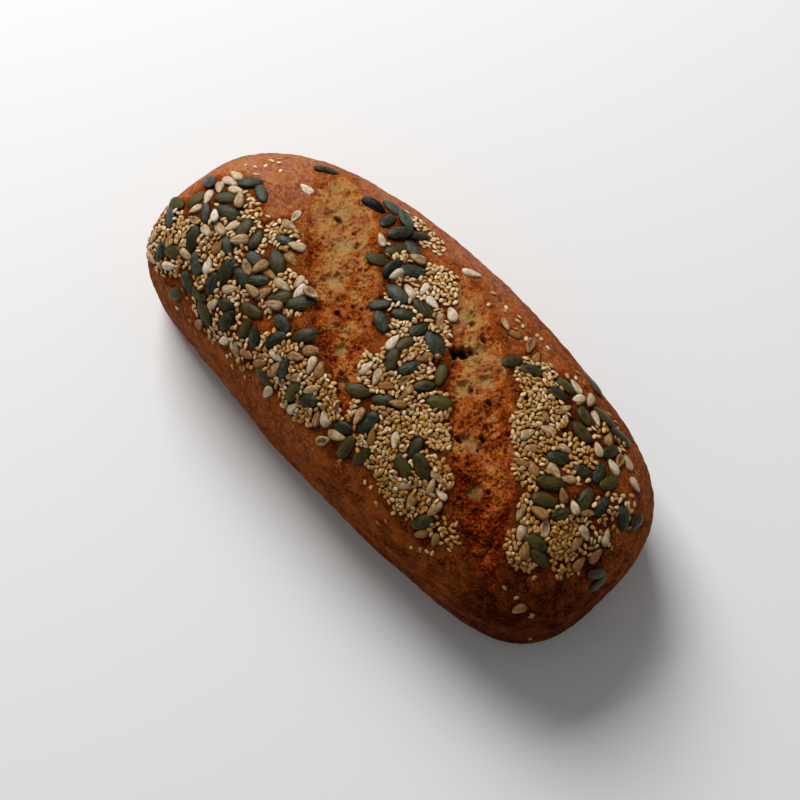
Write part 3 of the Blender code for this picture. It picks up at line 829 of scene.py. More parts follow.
def crumb_mesh(form, slash, crumb):
    """The torn crumb of one slash, with a margin of crust round it."""
    mesh = bpy.data.meshes.new(f"torn_crumb_{slash['name']}")
    grid = bmesh.new()
    bmesh.ops.create_grid(grid, x_segments=CRUMB_CUTS[0], y_segments=CRUMB_CUTS[1], size=1)
    grid.to_mesh(mesh)
    grid.free()
    u, v, _ = points_of(mesh).T
    along = slash["start"] + (slash["end"] - slash["start"]) * (u + 1) / 2 + MARGIN * u
    left, right = torn_edge(slash, "left", along), torn_edge(slash, "right", along)
    x, y = slash_to_plan(slash, along, left - MARGIN + (right - left + 2 * MARGIN) * (v + 1) / 2)
    surface = np.stack((x, y, form.top(x, y)), axis=1)
    normal = form.top_normal(x, y)

    width = np.maximum(right - left, LEAST_WIDTH)
    centred, from_left, from_right = from_edges(slash, x, y)
    share = np.clip(2 * from_left / width - 1, -1, 1)
    narrow = np.minimum(width / NARROW, 1)
    fade = np.clip(1 - np.abs(centred) ** SLASH_TIPS, 0, 1) * narrow
    soft = smooth_step(*SOFT_STRETCH, centred)
    wander = wandering(surface, 6 * MM)
    open_share = smooth_step(0, 1, from_left / (LEFT_WALL + SOFT_WALL * soft * wander))
    open_share *= smooth_step(0, 1, from_right / (RIGHT_WALL * (0.5 + wander)))
    open_share *= smooth_step(1.0, 0.95, np.abs(centred))

    drop = crumb.middle_drop + crumb.left_drop * (1 - soft) * (1 - smooth_step(-1.0, 0.1, share))
    drop += crumb.right_drop * smooth_step(0.2, 1.0, share)
    hollow, hollow_depth = pocket(x, y, slash["hollows"], HOLLOW_SOFTNESS)
    pit, pit_depth = pocket(x, y, slash["pits"], PIT_SOFTNESS)
    crag = noise_at(surface, CRAG_SPACING) * crumb.crag
    shred = RIDGE_LEVEL - np.abs(noise_at(surface, SHRED_SPACING, 4.0))
    fine = (RIDGE_LEVEL - np.abs(noise_at(surface, FIBRE_SPACING, 2.0))) * FIBRE_HEIGHT
    fine += (BUBBLE_LEVEL - cells_at(surface, BUBBLE_SPACING)) * BUBBLE_HEIGHT
    pores = smooth_step(*PORE_SIZES, cells_at(surface, PORE_SPACING, 8.0)) * PORE_DEPTH
    rough = crag + (shred * SHRED_HEIGHT + fine) * (1 - SMOOTHED * hollow) - pores
    depth = drop * fade + hollow_depth + pit_depth - rough * narrow
    height = -np.maximum(depth, -HIGHEST_SHRED) * open_share
    tucked = smooth_step(1.0, 0.93, np.abs(v)) * smooth_step(1.0, 0.985, np.abs(u))
    height += crust_rise(surface) * (1 - CRUST_LOST * open_share) - TUCK * (1 - tucked)
    move_points(mesh, surface + normal * height[:, None])

    # painted shadow: the band that the left lip shades inside the left edge, darkened in the crust's colour
    rim = np.exp(-(((from_left - LIP_SHADOW_PLACE) / LIP_SHADOW_REACH) ** 2)) * fade * (1 - soft)
    # fine: painted highlight on raised fibres and bubbles, painted shade between them; shred: real toasting
    toast = browning(slash, surface) + FIBRE_PAINTED_LIGHT_AND_SHADE * fine + SHRED_TOASTED * shred
    note(mesh, "bake", np.clip(baking(surface) + LIP_SHADOW_DARKENING * rim, 0, 1))
    note(mesh, "crumb", np.clip(crumb_share(slash, surface) * (1 + FIBRE_TORN * fine), 0, 1))
    note(mesh, "hollow", hollow * (1 - pit))
    # painted shade: pits and pores darkened by their depth
    note(mesh, "pit", np.clip(np.maximum(pit_depth / PIT_SHADE_DEPTH, pores / PORE_SHADE_DEPTH), 0, 1))
    note(mesh, "toast", np.clip(toast, 0, 1))
    mesh.shade_smooth()
    return mesh


def rounded(lengthwise, square, root):
    """A seed's half width along it: 1 in the middle and 0 at both ends."""
    return np.clip(1 - np.abs(lengthwise) ** square, 0, 1) ** root


def seed_form(kind):
    """One seed of unit size as points, faces and a mask of its lower rim, for painted contact shade. It lies
    along X, its tip at +X.
    """
    body = bmesh.new()
    bmesh.ops.create_uvsphere(body, u_segments=SEED_FACES[kind], v_segments=SEED_FACES[kind], radius=1)
    body.verts.index_update()
    ball = np.array([v.co for v in body.verts])
    faces = [[v.index for v in f.verts] for f in body.faces]
    body.free()
    lengthwise = ball[:, 2]
    ring = np.maximum(np.hypot(ball[:, 0], ball[:, 1]), 1e-6)
    side, up = ball[:, 0] / ring, ball[:, 1] / ring
    tip = np.maximum(lengthwise, 0)
    bearing = np.arctan2(up, side)
    if kind == "pumpkin":
        outline = rounded(lengthwise, 2.3, 0.50) * (1 - 0.20 * tip**1.5)
        thick = rounded(lengthwise, 2.6, 0.50) * (1 - 0.20 * tip)
        upward = np.sign(up) * np.abs(up) ** 0.95 * (1 + 0.04 * np.cos(4 * bearing + 2 * lengthwise))
    elif kind == "sunflower":
        outline = ring * (1 - 0.38 * lengthwise) / 1.07
        thick = ring * (1 - 0.28 * lengthwise) / 1.04
        upward = np.sign(up) * np.abs(up) ** 0.92 * (1 + 0.08 * np.cos(6 * bearing))
    else:
        outline = rounded(lengthwise, 2.2, 0.55) * (1 - 0.22 * lengthwise - 0.12 * tip**2) / 1.03
        thick = rounded(lengthwise, 2.2, 0.55) * (1 - 0.15 * lengthwise)
        upward = np.sign(up) * np.abs(up) ** 0.6
    points = np.stack((lengthwise, side * outline, upward * thick), axis=1) / 2
    # the mask darkens the underside towards the crust: painted contact shade
    return points, faces, 1 - smooth_step(-0.1, 0.75, up * ring)


@functools.cache
def laid_seeds():
    """Every seed on the loaf, and their bed. The largest kind comes first, and smaller ones fill the gaps."""
    scene = bpy.context.scene
    draw = random.Random(RANDOM_SEED)
    bed = Bed(loaf_form())
    seeds = {
        "pumpkin": lay_kind(bed, "pumpkin", scene.pumpkin_seeds.size, PUMPKIN_PATCHES, draw),
        "sunflower": lay_kind(bed, "sunflower", scene.sunflower_seeds.size, SUNFLOWER_PATCHES, draw),
        "sesame": lay_kind(bed, "sesame", scene.sesame_seeds.size, SESAME_PATCHES, draw),
    }
    # the kernel nearest the black kernel's place stands on edge, its skin drawn black in the rim colour
    burnt = min(seeds["pumpkin"], key=lambda seed: math.dist((seed["x"], seed["y"]), BLACK_KERNEL_PLACE))
    burnt["matrix"] = burnt["matrix"] @ Matrix.Rotation(EDGE_LEAN, 3, "X")
    burnt["shade"] = BLACK_KERNEL_SHADE
    return seeds, bed


class Bed:
    """A grid seen from above: where the slashes are, which way the crust faces and how high seeds stand."""

    def __init__(self, form):
        axes = [(np.arange(int(2 * reach / BED_CELL)) + 0.5) * BED_CELL - reach for reach in BED_REACH]
        self.axes = axes
        x, y = np.meshgrid(*axes, indexing="ij")
        inside = [slash_depth_inside(slash, x.ravel(), y.ravel()) for slash in SLASHES]
        self.inside = np.maximum(*inside).reshape(x.shape)
        self.normal = form.top_normal(x, y)
        self.height = np.zeros_like(x)

    def cell(self, value, axis):
        """The grid's index for a place along one axis."""
        limit = self.height.shape[axis] - 1
        return np.clip(((value + BED_REACH[axis]) / BED_CELL).astype(int), 0, limit)

    def at(self, layer, x, y):
        """What a layer of the grid holds at some places."""
        return layer[self.cell(x, 0), self.cell(y, 1)]

    def under(self, seed):
        """The window of cells round a seed, and where each lies on it: under 1 where the seed covers it."""
        reach = seed["size"][0] / 2
        middle = (seed["x"], seed["y"])
        window, offsets = [], []
        for axis in (0, 1):
            low, high = self.cell(np.array((middle[axis] - reach, middle[axis] + reach)), axis)
            window.append(slice(low, high + 1))
            offsets.append(self.axes[axis][window[axis]] - middle[axis])
        dx, dy = np.meshgrid(*offsets, indexing="ij")
        up = seed["up"]
        dz = -(up[0] * dx + up[1] * dy) / up[2]
        lie = np.array(seed["lie"])
        lengthwise = dx * lie[0][0] + dy * lie[1][0] + dz * lie[2][0]
        side = dx * lie[0][1] + dy * lie[1][1] + dz * lie[2][1]
        return tuple(window), (2 * lengthwise / seed["size"][0]) ** 2 + (2 * side / seed["size"][1]) ** 2


def draw_place(bed, patch, over, choices, laid, draw):
    """A random place in a patch, not far over a torn edge: of a few, the one furthest from its kind."""
    best, best_room = None, -1.0
    for _ in range(choices):
        away, bearing = math.sqrt(draw.random()) * draw.uniform(*PATCH_REACHES), draw.uniform(0, math.tau)
        x = (patch[0] + patch[2] * away * math.cos(bearing)) * MM
        y = (patch[1] + patch[3] * away * math.sin(bearing)) * MM
        if bed.at(bed.inside, np.array(x), np.array(y)) > over:
            continue
        room = min((math.dist((x, y), other) for other in laid), default=1.0) if choices > 1 else 0.0
        if room > best_room:
            best, best_room = (x, y), room
    return best


def turned_seed(bed, place, size, draw):
    """A seed lying flat on the crust at a place, of its own size and turned at random."""
    up = Vector(bed.at(bed.normal, *(np.array(part) for part in place)))
    turn = Matrix.Rotation(draw.uniform(0, math.tau), 3, "Z")
    grow = 1 + draw.uniform(*SIZES)
    length = size[0] * grow * draw.uniform(*LENGTHS)
    width = size[1] * grow * draw.uniform(*WIDTHS)
    return {
        "x": place[0],
        "y": place[1],
        "up": up,
        "lie": up.to_track_quat("Z", "Y").to_matrix() @ turn,
        "size": (length, width, size[2] * grow),
        "curl": draw.uniform(*CURLS),
        "tone": draw.random(),
    }


def settle(seed, bed, sunk, draw, roll):
    """Rests a seed on the crust and on the seeds under it, tilted as they hold it."""
    length, width, thick = seed["size"]
    lie = seed["lie"]
    reach, across = FEEL_LENGTH * length, FEEL_WIDTH * width
    probes = ((0, 0), (-reach, 0), (reach, 0), (0, -across), (0, across))
    places = np.array([lie @ Vector((*probe, 0)) for probe in probes])
    middle, tail, tip, one, other = bed.at(bed.height, places[:, 0] + seed["x"], places[:, 1] + seed["y"])
    pitch = math.atan2(tip - tail, 2 * reach) + draw.gauss(0, UNEVEN_PITCH)
    lean = math.atan2(other - one, 2 * across) + draw.gauss(0, UNEVEN_LEAN) + roll
    pitch = max(min(pitch, MOST_PITCH), -MOST_PITCH)
    lean = max(min(lean, MOST_LEAN), -MOST_LEAN)
    rest = max(middle, (tail + tip) / 2, (one + other) / 2)
    on_crust = float(smooth_step(ON_BARE_CRUST, 0, rest))
    reach_down = 0.5 * (thick * math.cos(lean) + width * abs(math.sin(lean)) * 0.8)
    seed["lift"] = rest + reach_down - sunk * thick * on_crust - NESTLED * thick
    seed["matrix"] = lie @ Matrix.Rotation(-pitch, 3, "Y") @ Matrix.Rotation(lean, 3, "X")
    seed["top"] = seed["lift"] + 0.42 * thick


def lay_kind(bed, kind, size, patches, draw):
    """Lays one kind of seed patch by patch, in the gaps first and then on one another."""
    overlap, sunk, over, choices = LAYING[kind]
    laid, places = [], []
    for patch in patches:
        tries = 0
        left = patch[-1]
        while left and tries < MOST_TRIES:
            tries += 1
            place = draw_place(bed, patch, over, choices, places, draw)
            if place is None:
                continue
            seed = turned_seed(bed, place, size, draw)
            window, spread = bed.under(seed)
            covered = spread < 1
            taken = (bed.height[window][covered] > COVERED).mean()
            if taken > overlap + MORE_OVERLAP * (tries / MOST_TRIES) ** 2:
                continue
            stands = kind == "pumpkin" and draw.random() < ON_EDGE
            settle(seed, bed, sunk, draw, draw.choice((-EDGE_LEAN, EDGE_LEAN)) if stands else 0)
            crown = seed["top"] * np.sqrt(np.clip(1 - 0.7 * spread, 0, 1))
            bed.height[window] = np.where(covered, np.maximum(bed.height[window], crown), bed.height[window])
            laid.append(seed)
            places.append(place)
            left -= 1
            tries = 0
    return laid


@functools.cache
def loaf_form():
    """The form that every piece shares."""
    return LoafForm(bpy.context.scene.loaf_shape)


def joined_seeds(name, kind):
    """All the seeds of one kind as one mesh."""
    form = loaf_form()
    points, faces, rim = seed_form(kind)
    seeds = laid_seeds()[0][kind]
    x, y = (np.array([seed[axis] for seed in seeds]) for axis in ("x", "y"))
    ground = np.stack((x, y, form.top(x, y)), axis=1)
    tones = np.array([seed["tone"] for seed in seeds]) * TONE_SPREAD
    tones += TONE_BAKED * oven_heat(ground)
    tones = np.repeat(np.clip(tones + TONE_LEAST, 0, 1), len(points))
    ground += form.top_normal(x, y) * crust_rise(ground)[:, None]
    split = (np.arange(len(seeds)) % SPLIT_EVERY == 0) & (kind == "sunflower")
    away = np.hypot(points[:, 0] - SPLIT_MIDDLE, SPLIT_NARROWNESS * points[:, 1])
    hollow = smooth_step(*SPLIT_EDGE, away) * (points[:, 2] > 0)
    places, grains, corners, seed_shades = [], [], [], []
    for i, (seed, base) in enumerate(zip(seeds, ground)):
        local = points * np.array(seed["size"])
        local[:, 2] -= SPLIT_DEPTH * seed["size"][2] * hollow * split[i]
        local[:, 2] -= seed["curl"] * (local[:, 0] ** 2 - local[:, 1] ** 2) / seed["size"][0]
        turned = local @ np.array(seed["matrix"]).T
        places.append(turned + base + np.array(seed["up"]) * seed["lift"])
        grains.append(local + (i % GRAIN_PLACES) * GRAIN_STEP)
        # painted shade on each seed's lower rim and in the split kernels' hollows; the one black kernel goes
        # fully to the rim colour
        seed_shades.append(np.maximum(rim, np.maximum(SPLIT_SHADE * hollow * split[i], seed.get("shade", 0))))
        corners += [[corner + i * len(points) for corner in face] for face in faces]
    mesh = bpy.data.meshes.new(name)
    mesh.from_pydata(np.concatenate(places), [], corners)
    note(mesh, "seed_place", np.concatenate(grains))
    note(mesh, "seed_shade", np.concatenate(seed_shades))
    note(mesh, "seed_tone", tones)
    mesh.shade_smooth()
    return mesh


def show_seeds(scene, kind):
    """Makes all the seeds of one kind a piece of the loaf."""
    name = f"{kind}_seeds"
    mesh = joined_seeds(name, kind)
    show_piece(name, mesh, seed_material(f"{kind}_skin", getattr(scene, name), *SEED_SKINS[kind]))


def feed(tree, socket, value):
    """Links a socket to another node's, or sets it to a number, a vector or a colour."""
    if isinstance(value, bpy.types.NodeSocket):
        tree.links.new(value, socket)
    elif socket.type == "RGBA":
        socket.default_value = (*value, 1)
    else:
        socket.default_value = value


def add_node(tree, kind, **sockets):
    """A node of that kind, with its inputs set by name, an underscore standing for a space."""
    made = tree.nodes.new(kind)
    for name, value in sockets.items():
        feed(tree, made.inputs[name.replace("_", " ")], value)
    return made


def add_math(tree, operation, *values):
    """The output of a math node on numbers or sockets."""
    made = tree.nodes.new("ShaderNodeMath")
    made.operation = operation
    for socket, value in zip(made.inputs, values):
        feed(tree, socket, value)
    return made.outputs[0]


def scaled(tree, value, times, plus=0.0):
    """A value times a second, plus a third."""
    return add_math(tree, "MULTIPLY_ADD", value, times, plus)


def at_least(tree, least, value):
    """The larger of two values."""
    return add_math(tree, "MAXIMUM", value, least)


def at_most(tree, most, value):
    """The smaller of two values."""
    return add_math(tree, "MINIMUM", value, most)


def add_mix(tree, share, first, second):
    """The output of a colour mix."""
    made = tree.nodes.new("ShaderNodeMix")
    made.data_type = "RGBA"
    for index, value in ((0, share), (6, first), (7, second)):
        feed(tree, made.inputs[index], value)
    return made.outputs[2]


def read_note(tree, name, vector=False):
    """What the mesh stores for each point under that name."""
    made = tree.nodes.new("ShaderNodeAttribute")
    made.attribute_type = "GEOMETRY"
    made.attribute_name = name
    return made.outputs["Vector" if vector else "Fac"]


def group_with(name, inputs, outputs):
    """An empty node group with named inputs and outputs."""
    tree = bpy.data.node_groups.new(name, "ShaderNodeTree")
    for direction, sockets in (("INPUT", inputs), ("OUTPUT", outputs)):
        for socket_name, kind in sockets.items():
            tree.interface.new_socket(socket_name, in_out=direction, socket_type=kind)
    return tree, tree.nodes.new("NodeGroupInput").outputs, tree.nodes.new("NodeGroupOutput").inputs


@functools.cache
def toasting_group():
    """Three colours of one baked thing, from pale over brown to dark as Toast goes from 0 to 1."""
    given_sockets = {"Toast": FLOAT, "Pale": COLOUR, "Brown": COLOUR, "Dark": COLOUR}
    tree, given, result = group_with("Toasting", given_sockets, {"Colour": COLOUR})
    doubled = scaled(tree, given["Toast"], 2.0)
    late = at_least(tree, 0.0, add_math(tree, "SUBTRACT", doubled, 1.0))
    first = add_mix(tree, at_most(tree, 1.0, doubled), given["Pale"], given["Brown"])
    tree.links.new(add_mix(tree, late, first, given["Dark"]), result["Colour"])
    return tree


@functools.cache
def flecks_group():
    """Scattered flecks of about a given size: a mask of them, and the soft unevenness between."""
    given_sockets = {"Place": VECTOR, "Scale": FLOAT, "Share": FLOAT}
    tree, given, result = group_with("Flecks", given_sockets, {"Mask": FLOAT, "Unevenness": FLOAT})
    place, scale = given["Place"], given["Scale"]
    waves = add_node(tree, "ShaderNodeTexNoise", Vector=place, Scale=scale, Detail=3.0, Roughness=0.6)
    cloud = waves.outputs[0]
    over = add_math(tree, "SUBTRACT", cloud, add_math(tree, "SUBTRACT", 1.0, given["Share"]))
    mask = at_most(tree, 1.0, at_least(tree, 0.0, scaled(tree, over, 9.0)))
    tree.links.new(mask, result["Mask"])
    tree.links.new(add_math(tree, "SUBTRACT", cloud, 0.5), result["Unevenness"])
    return tree


@functools.cache
def grain_group():
    """The height of a fine grain: soft waves with smaller ones on them."""
    given_sockets = {"Place": VECTOR, "Scale": FLOAT, "Fine share": FLOAT}
    tree, given, result = group_with("Grain", given_sockets, {"Height": FLOAT})
    waves = add_node(tree, "ShaderNodeTexNoise", Vector=given["Place"], Scale=given["Scale"], Detail=4.0)
    finer = scaled(tree, given["Scale"], 3.7)
    dots = add_node(tree, "ShaderNodeTexVoronoi", Vector=given["Place"], Scale=finer)
    fine = scaled(tree, dots.outputs["Distance"], given["Fine share"])
    tree.links.new(add_math(tree, "SUBTRACT", waves.outputs[0], fine), result["Height"])
    return tree


def use_group(tree, group, **sockets):
    """A node group placed in a material with its own values, inputs set by name as in add_node."""
    made = tree.nodes.new("ShaderNodeGroup")
    made.node_tree = group
    for name, value in sockets.items():
        feed(tree, made.inputs[name.replace("_", " ")], value)
    return made.outputs


def toasted(tree, toast, pale, brown, dark):
    """The colour that a baked thing has where it is toasted so far."""
    return use_group(tree, toasting_group(), Toast=toast, Pale=pale, Brown=brown, Dark=dark)["Colour"]


def new_material(name, roughness, specular):
    """A material with its Principled shader, and the tree that holds it."""
    material = bpy.data.materials.new(name)
    material.use_nodes = True
    tree = material.node_tree
    shader = tree.nodes["Principled BSDF"]
    shader.inputs["Roughness"].default_value = roughness
    shader.inputs["Specular IOR Level"].default_value = specular
    return material, tree, shader


def bump_into(tree, shader, height, distance):
    """Feeds a height, in shares of a distance, to the shader's normal."""
    bump = add_node(tree, "ShaderNodeBump", Height=height, Distance=distance, Strength=1.0)
    tree.links.new(bump.outputs["Normal"], shader.inputs["Normal"])


def crust_colour(tree, looks, flecks):
    """The baked skin: pinkish where the oven reached it least, partly its own colour and partly a painted
    sheen, with amber blotches, bran and dust.
    """
    oven = read_note(tree, "bake")
    broad, ripe, bran, specks, dust = (flecks[name]["Unevenness"] for name in FLECKS)
    calm = scaled(tree, oven, -0.75, 1.0)
    bake = scaled(tree, scaled(tree, bran, 2.3, broad), calm, oven)
    bake = scaled(tree, scaled(tree, dust, 0.8, specks), scaled(tree, oven, 1.3, 0.7), bake)
    skin = toasted(tree, bake, looks.pale, looks.brown, looks.dark)
    # rosy blotches on the least baked side: partly the crust's own mottling, partly a painted sheen
    unbaked = at_least(tree, 0.0, scaled(tree, oven, -1.8, 1.0))
    rosy = at_most(tree, 0.7, at_least(tree, 0.0, scaled(tree, broad, 7.0)))
    skin = add_mix(tree, scaled(tree, rosy, unbaked), skin, looks.rosy)
    amber = scaled(tree, ripe, 3.0, scaled(tree, broad, -4.0, scaled(tree, oven, 0.4, 0.08)))
    amber = scaled(tree, at_least(tree, 0.0, amber), calm)
    amber = scaled(tree, amber, at_most(tree, 1.0, scaled(tree, oven, 4.0)))
    skin = add_mix(tree, at_most(tree, 0.6, amber), skin, looks.amber)
    skin = add_mix(tree, scaled(tree, flecks["bran"]["Mask"], 0.32), skin, looks.dark)
    return add_mix(tree, scaled(tree, flecks["dust"]["Mask"], 0.42), skin, looks.amber)


def crumb_colour(tree, looks, pit_shade_colour, flecks):
    """The torn crumb: golden, toasted along its edges, creamy in its hollows and painted dark with shade in
    its pits and pores.
    """
    broad, _, bran, specks, dust = (flecks[name]["Unevenness"] for name in FLECKS)
    toast = read_note(tree, "toast")
    for uneven, strength in ((broad, 0.9), (specks, 1.5), (bran, 0.7), (dust, 0.9)):
        toast = scaled(tree, uneven, strength, toast)
    torn = toasted(tree, toast, looks.golden, looks.toasted, looks.burnt)
    unbaked = at_least(tree, 0.0, add_math(tree, "SUBTRACT", 1.0, toast))
    rosy = at_most(tree, 0.8, at_least(tree, flecks["broad"]["Mask"], scaled(tree, broad, 8.0)))
    torn = add_mix(tree, scaled(tree, rosy, unbaked), torn, looks.rosy)
    creamy = scaled(tree, unbaked, 0.6, scaled(tree, specks, 1.6, 0.35))
    torn = add_mix(tree, scaled(tree, creamy, read_note(tree, "hollow")), torn, looks.cream)
    flakes = scaled(tree, scaled(tree, flecks["dust"]["Mask"], unbaked), 0.4)
    torn = add_mix(tree, flakes, torn, looks.cream)
    # painted shade in the pits and pores, in the crust's dark colour
    return add_mix(tree, read_note(tree, "pit"), torn, pit_shade_colour)


def bread_material():
    """Baked crust, and torn crumb where the mesh is open."""
    scene = bpy.context.scene
    material, tree, shader = new_material("bread", BREAD_ROUGHNESS, BREAD_SPECULAR)
    place = tree.nodes.new("ShaderNodeTexCoord").outputs["Object"]
    flecks = {
        name: use_group(tree, flecks_group(), Place=place, Scale=scale, Share=share)
        for name, (scale, share) in FLECKS.items()
    }
    open_crumb = read_note(tree, "crumb")
    skin = crust_colour(tree, scene.crust_looks, flecks)
    torn = crumb_colour(tree, scene.crumb_looks, scene.crust_looks.dark, flecks)
    tree.links.new(add_mix(tree, open_crumb, skin, torn), shader.inputs["Base Color"])
    tree.links.new(scaled(tree, open_crumb, CRUMB_ROUGHER, BREAD_ROUGHNESS), shader.inputs["Roughness"])
    skin_grain, crumb_grain = (
        use_group(tree, grain_group(), Place=place, Scale=scale, Fine_share=0.9)["Height"]
        for scale in (SKIN_GRAIN, CRUMB_GRAIN)
    )
    height = tree.nodes.new("ShaderNodeMix")
    for index, value in ((0, open_crumb), (2, scaled(tree, skin_grain, SKIN_GRAIN_SHARE)), (3, crumb_grain)):
        feed(tree, height.inputs[index], value)
    bump_into(tree, shader, height.outputs[0], BREAD_BUMP)
    return material


def seed_material(name, looks, roughness, specular, streaks, fleck_scale):
    """A seed's skin: its own tone, fine streaks along it and a rim darkened with painted contact shade."""
    material, tree, shader = new_material(name, roughness, specular)
    place = read_note(tree, "seed_place", vector=True)
    stretch = add_node(tree, "ShaderNodeMapping", Vector=place, Scale=(0.22, 1.0, 1.0)).outputs[0]
    patches = use_group(tree, flecks_group(), Place=place, Scale=fleck_scale, Share=0.36)
    lines = use_group(tree, flecks_group(), Place=stretch, Scale=fleck_scale * 5, Share=0.40)
    tone = scaled(tree, patches["Unevenness"], 1.5, read_note(tree, "seed_tone"))
    tone = scaled(tree, lines["Unevenness"], 1.5, tone)
    skin = toasted(tree, tone, looks.pale, looks.brown, looks.dark)
    skin = add_mix(tree, scaled(tree, patches["Mask"], 0.3), skin, looks.pale)
    # painted contact shade: the lower rim goes towards the rim colour
    deep = scaled(tree, read_note(tree, "seed_shade"), SEED_SHADE_STRENGTH)
    tree.links.new(add_mix(tree, deep, skin, looks.rim), shader.inputs["Base Color"])
    worn = scaled(tree, patches["Unevenness"], 0.3, roughness)
    tree.links.new(worn, shader.inputs["Roughness"])
    grain = use_group(tree, grain_group(), Place=stretch, Scale=fleck_scale * 4, Fine_share=0.2)["Height"]
    bump_into(tree, shader, grain, streaks)
    return material


class LOAF_OT_bake_crust(bpy.types.Operator):
    """Makes the baked crust of the whole loaf"""

    bl_idname = "loaf.bake_crust"
    bl_label = "Bake the crust"

    def execute(self, context):
        show_piece("loaf_crust", crust_mesh(loaf_form()), bread_material())
        return {"FINISHED"}


class LOAF_OT_tear_slashes(bpy.types.Operator):
    """Makes the crumb torn open in each slash"""

    bl_idname = "loaf.tear_slashes"
    bl_label = "Tear the slashes open"

    def execute(self, context):
        for slash in SLASHES:
            mesh = crumb_mesh(loaf_form(), slash, context.scene.crumb_looks)
            show_piece(mesh.name, mesh, bread_material())
        return {"FINISHED"}


class LOAF_OT_lay_pumpkin_seeds(bpy.types.Operator):
    """Lays the pumpkin kernels"""

    bl_idname = "loaf.lay_pumpkin_seeds"
    bl_label = "Lay the pumpkin seeds"

    def execute(self, context):
        show_seeds(context.scene, "pumpkin")
        return {"FINISHED"}


class LOAF_OT_lay_sunflower_seeds(bpy.types.Operator):
    """Lays the sunflower kernels"""

    bl_idname = "loaf.lay_sunflower_seeds"
    bl_label = "Lay the sunflower seeds"

    def execute(self, context):
        show_seeds(context.scene, "sunflower")
        return {"FINISHED"}


class LOAF_OT_lay_sesame_seeds(bpy.types.Operator):
    """Lays the sesame seeds"""

    bl_idname = "loaf.lay_sesame_seeds"
    bl_label = "Lay the sesame seeds"

    def execute(self, context):
        show_seeds(context.scene, "sesame")
        return {"FINISHED"}


class LOAF_OT_set_stage(bpy.types.Operator):
    """Makes the pale floor, the soft light and the camera"""

    bl_idname = "loaf.set_stage"
    bl_label = "Set the stage"

    def execute(self, context):
        looks = context.scene.stage_looks
        lay_floor(looks)
        light_stage(context.scene, looks)
        aim_camera(context.scene)
        return {"FINISHED"}


def lay_floor(looks):
    """A wide pale floor at the loaf's base."""
    mesh = bpy.data.meshes.new("floor")
    plane = bmesh.new()
    bmesh.ops.create_grid(plane, x_segments=1, y_segments=1, size=FLOOR_REACH)
    plane.to_mesh(mesh)
    plane.free()
    material, _, shader = new_material("pale_floor", 0.9, 0.1)
    shader.inputs["Base Color"].default_value = (*looks.floor, 1)
    mesh.materials.append(material)
    floor = bpy.data.objects.new("floor", mesh)
    bpy.context.scene.collection.objects.link(floor)


def light_stage(scene, looks):
    """One large soft light from beyond the loaf's -X end, and even light from all round."""
    data = bpy.data.lights.new("key_light", "AREA")
    data.size = LIGHT_SIZE
    data.energy = looks.key
    light = bpy.data.objects.new("key_light", data)
    light.location = LIGHT_PLACE
    light.rotation_euler = (VIEW_POINT - Vector(LIGHT_PLACE)).to_track_quat("-Z", "Y").to_euler()
    scene.collection.objects.link(light)
    world = bpy.data.worlds.new("studio")
    world.use_nodes = True
    sky = world.node_tree.nodes["Background"]
    sky.inputs["Color"].default_value = (1, 1, 1, 1)
    sky.inputs["Strength"].default_value = looks.fill
    scene.world = world
    scene.view_settings.view_transform = "Standard"


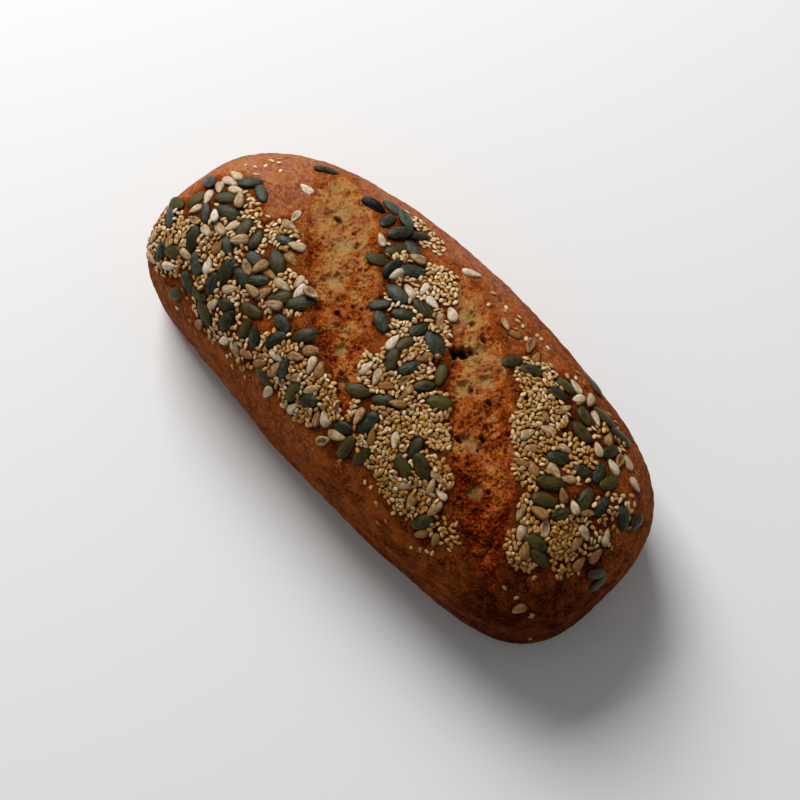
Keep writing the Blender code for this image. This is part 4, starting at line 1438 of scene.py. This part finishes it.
def aim_camera(scene):
    """The camera at the photograph's viewing angle."""
    back = Vector(
        (
            math.sin(VIEW_AZIMUTH) * math.cos(VIEW_ELEVATION),
            -math.cos(VIEW_AZIMUTH) * math.cos(VIEW_ELEVATION),
            math.sin(VIEW_ELEVATION),
        )
    )
    right = Vector((0, 0, 1)).cross(back).normalized()
    up = back.cross(right)
    target = VIEW_POINT - right * POINT_RIGHT - up * POINT_UP
    camera = bpy.data.objects.new("camera", bpy.data.cameras.new("camera"))
    camera.data.lens = VIEW_LENS
    camera.data.sensor_width = VIEW_SENSOR
    camera.location = VIEW_POINT + back * VIEW_DISTANCE
    camera.rotation_euler = (target - camera.location).to_track_quat("-Z", "Y").to_euler()
    scene.collection.objects.link(camera)
    scene.camera = camera


class LOAF_PT_panel(bpy.types.Panel):
    """Lists the loaf's sizes, colours and steps"""

    bl_label = "Seeded loaf"
    bl_idname = "LOAF_PT_panel"
    bl_space_type = "VIEW_3D"
    bl_region_type = "UI"
    bl_category = "Loaf"

    def draw(self, context):
        for name in GROUPS:
            box = self.layout.box()
            group = getattr(context.scene, name)
            for key in group.__annotations__:
                box.prop(group, key)
        for operator in OPERATORS:
            self.layout.operator(operator.bl_idname)


GROUPS = {
    "loaf_shape": LoafShape,
    "crust_looks": CrustLooks,
    "crumb_looks": CrumbLooks,
    "pumpkin_seeds": PumpkinSeeds,
    "sunflower_seeds": SunflowerSeeds,
    "sesame_seeds": SesameSeeds,
    "stage_looks": StageLooks,
}
OPERATORS = (
    LOAF_OT_bake_crust,
    LOAF_OT_tear_slashes,
    LOAF_OT_lay_pumpkin_seeds,
    LOAF_OT_lay_sunflower_seeds,
    LOAF_OT_lay_sesame_seeds,
    LOAF_OT_set_stage,
)


def register():
    for name, group in GROUPS.items():
        bpy.utils.register_class(group)
        setattr(bpy.types.Scene, name, PointerProperty(type=group))
    for operator in OPERATORS:
        bpy.utils.register_class(operator)
    bpy.utils.register_class(LOAF_PT_panel)


def unregister():
    bpy.utils.unregister_class(LOAF_PT_panel)
    for operator in reversed(OPERATORS):
        bpy.utils.unregister_class(operator)
    for name, group in reversed(GROUPS.items()):
        delattr(bpy.types.Scene, name)
        bpy.utils.unregister_class(group)


def main():
    register()
    bpy.ops.loaf.bake_crust()
    bpy.ops.loaf.tear_slashes()
    bpy.ops.loaf.lay_pumpkin_seeds()
    bpy.ops.loaf.lay_sunflower_seeds()
    bpy.ops.loaf.lay_sesame_seeds()
    bpy.ops.loaf.set_stage()


if __name__ == "__main__":
    main()
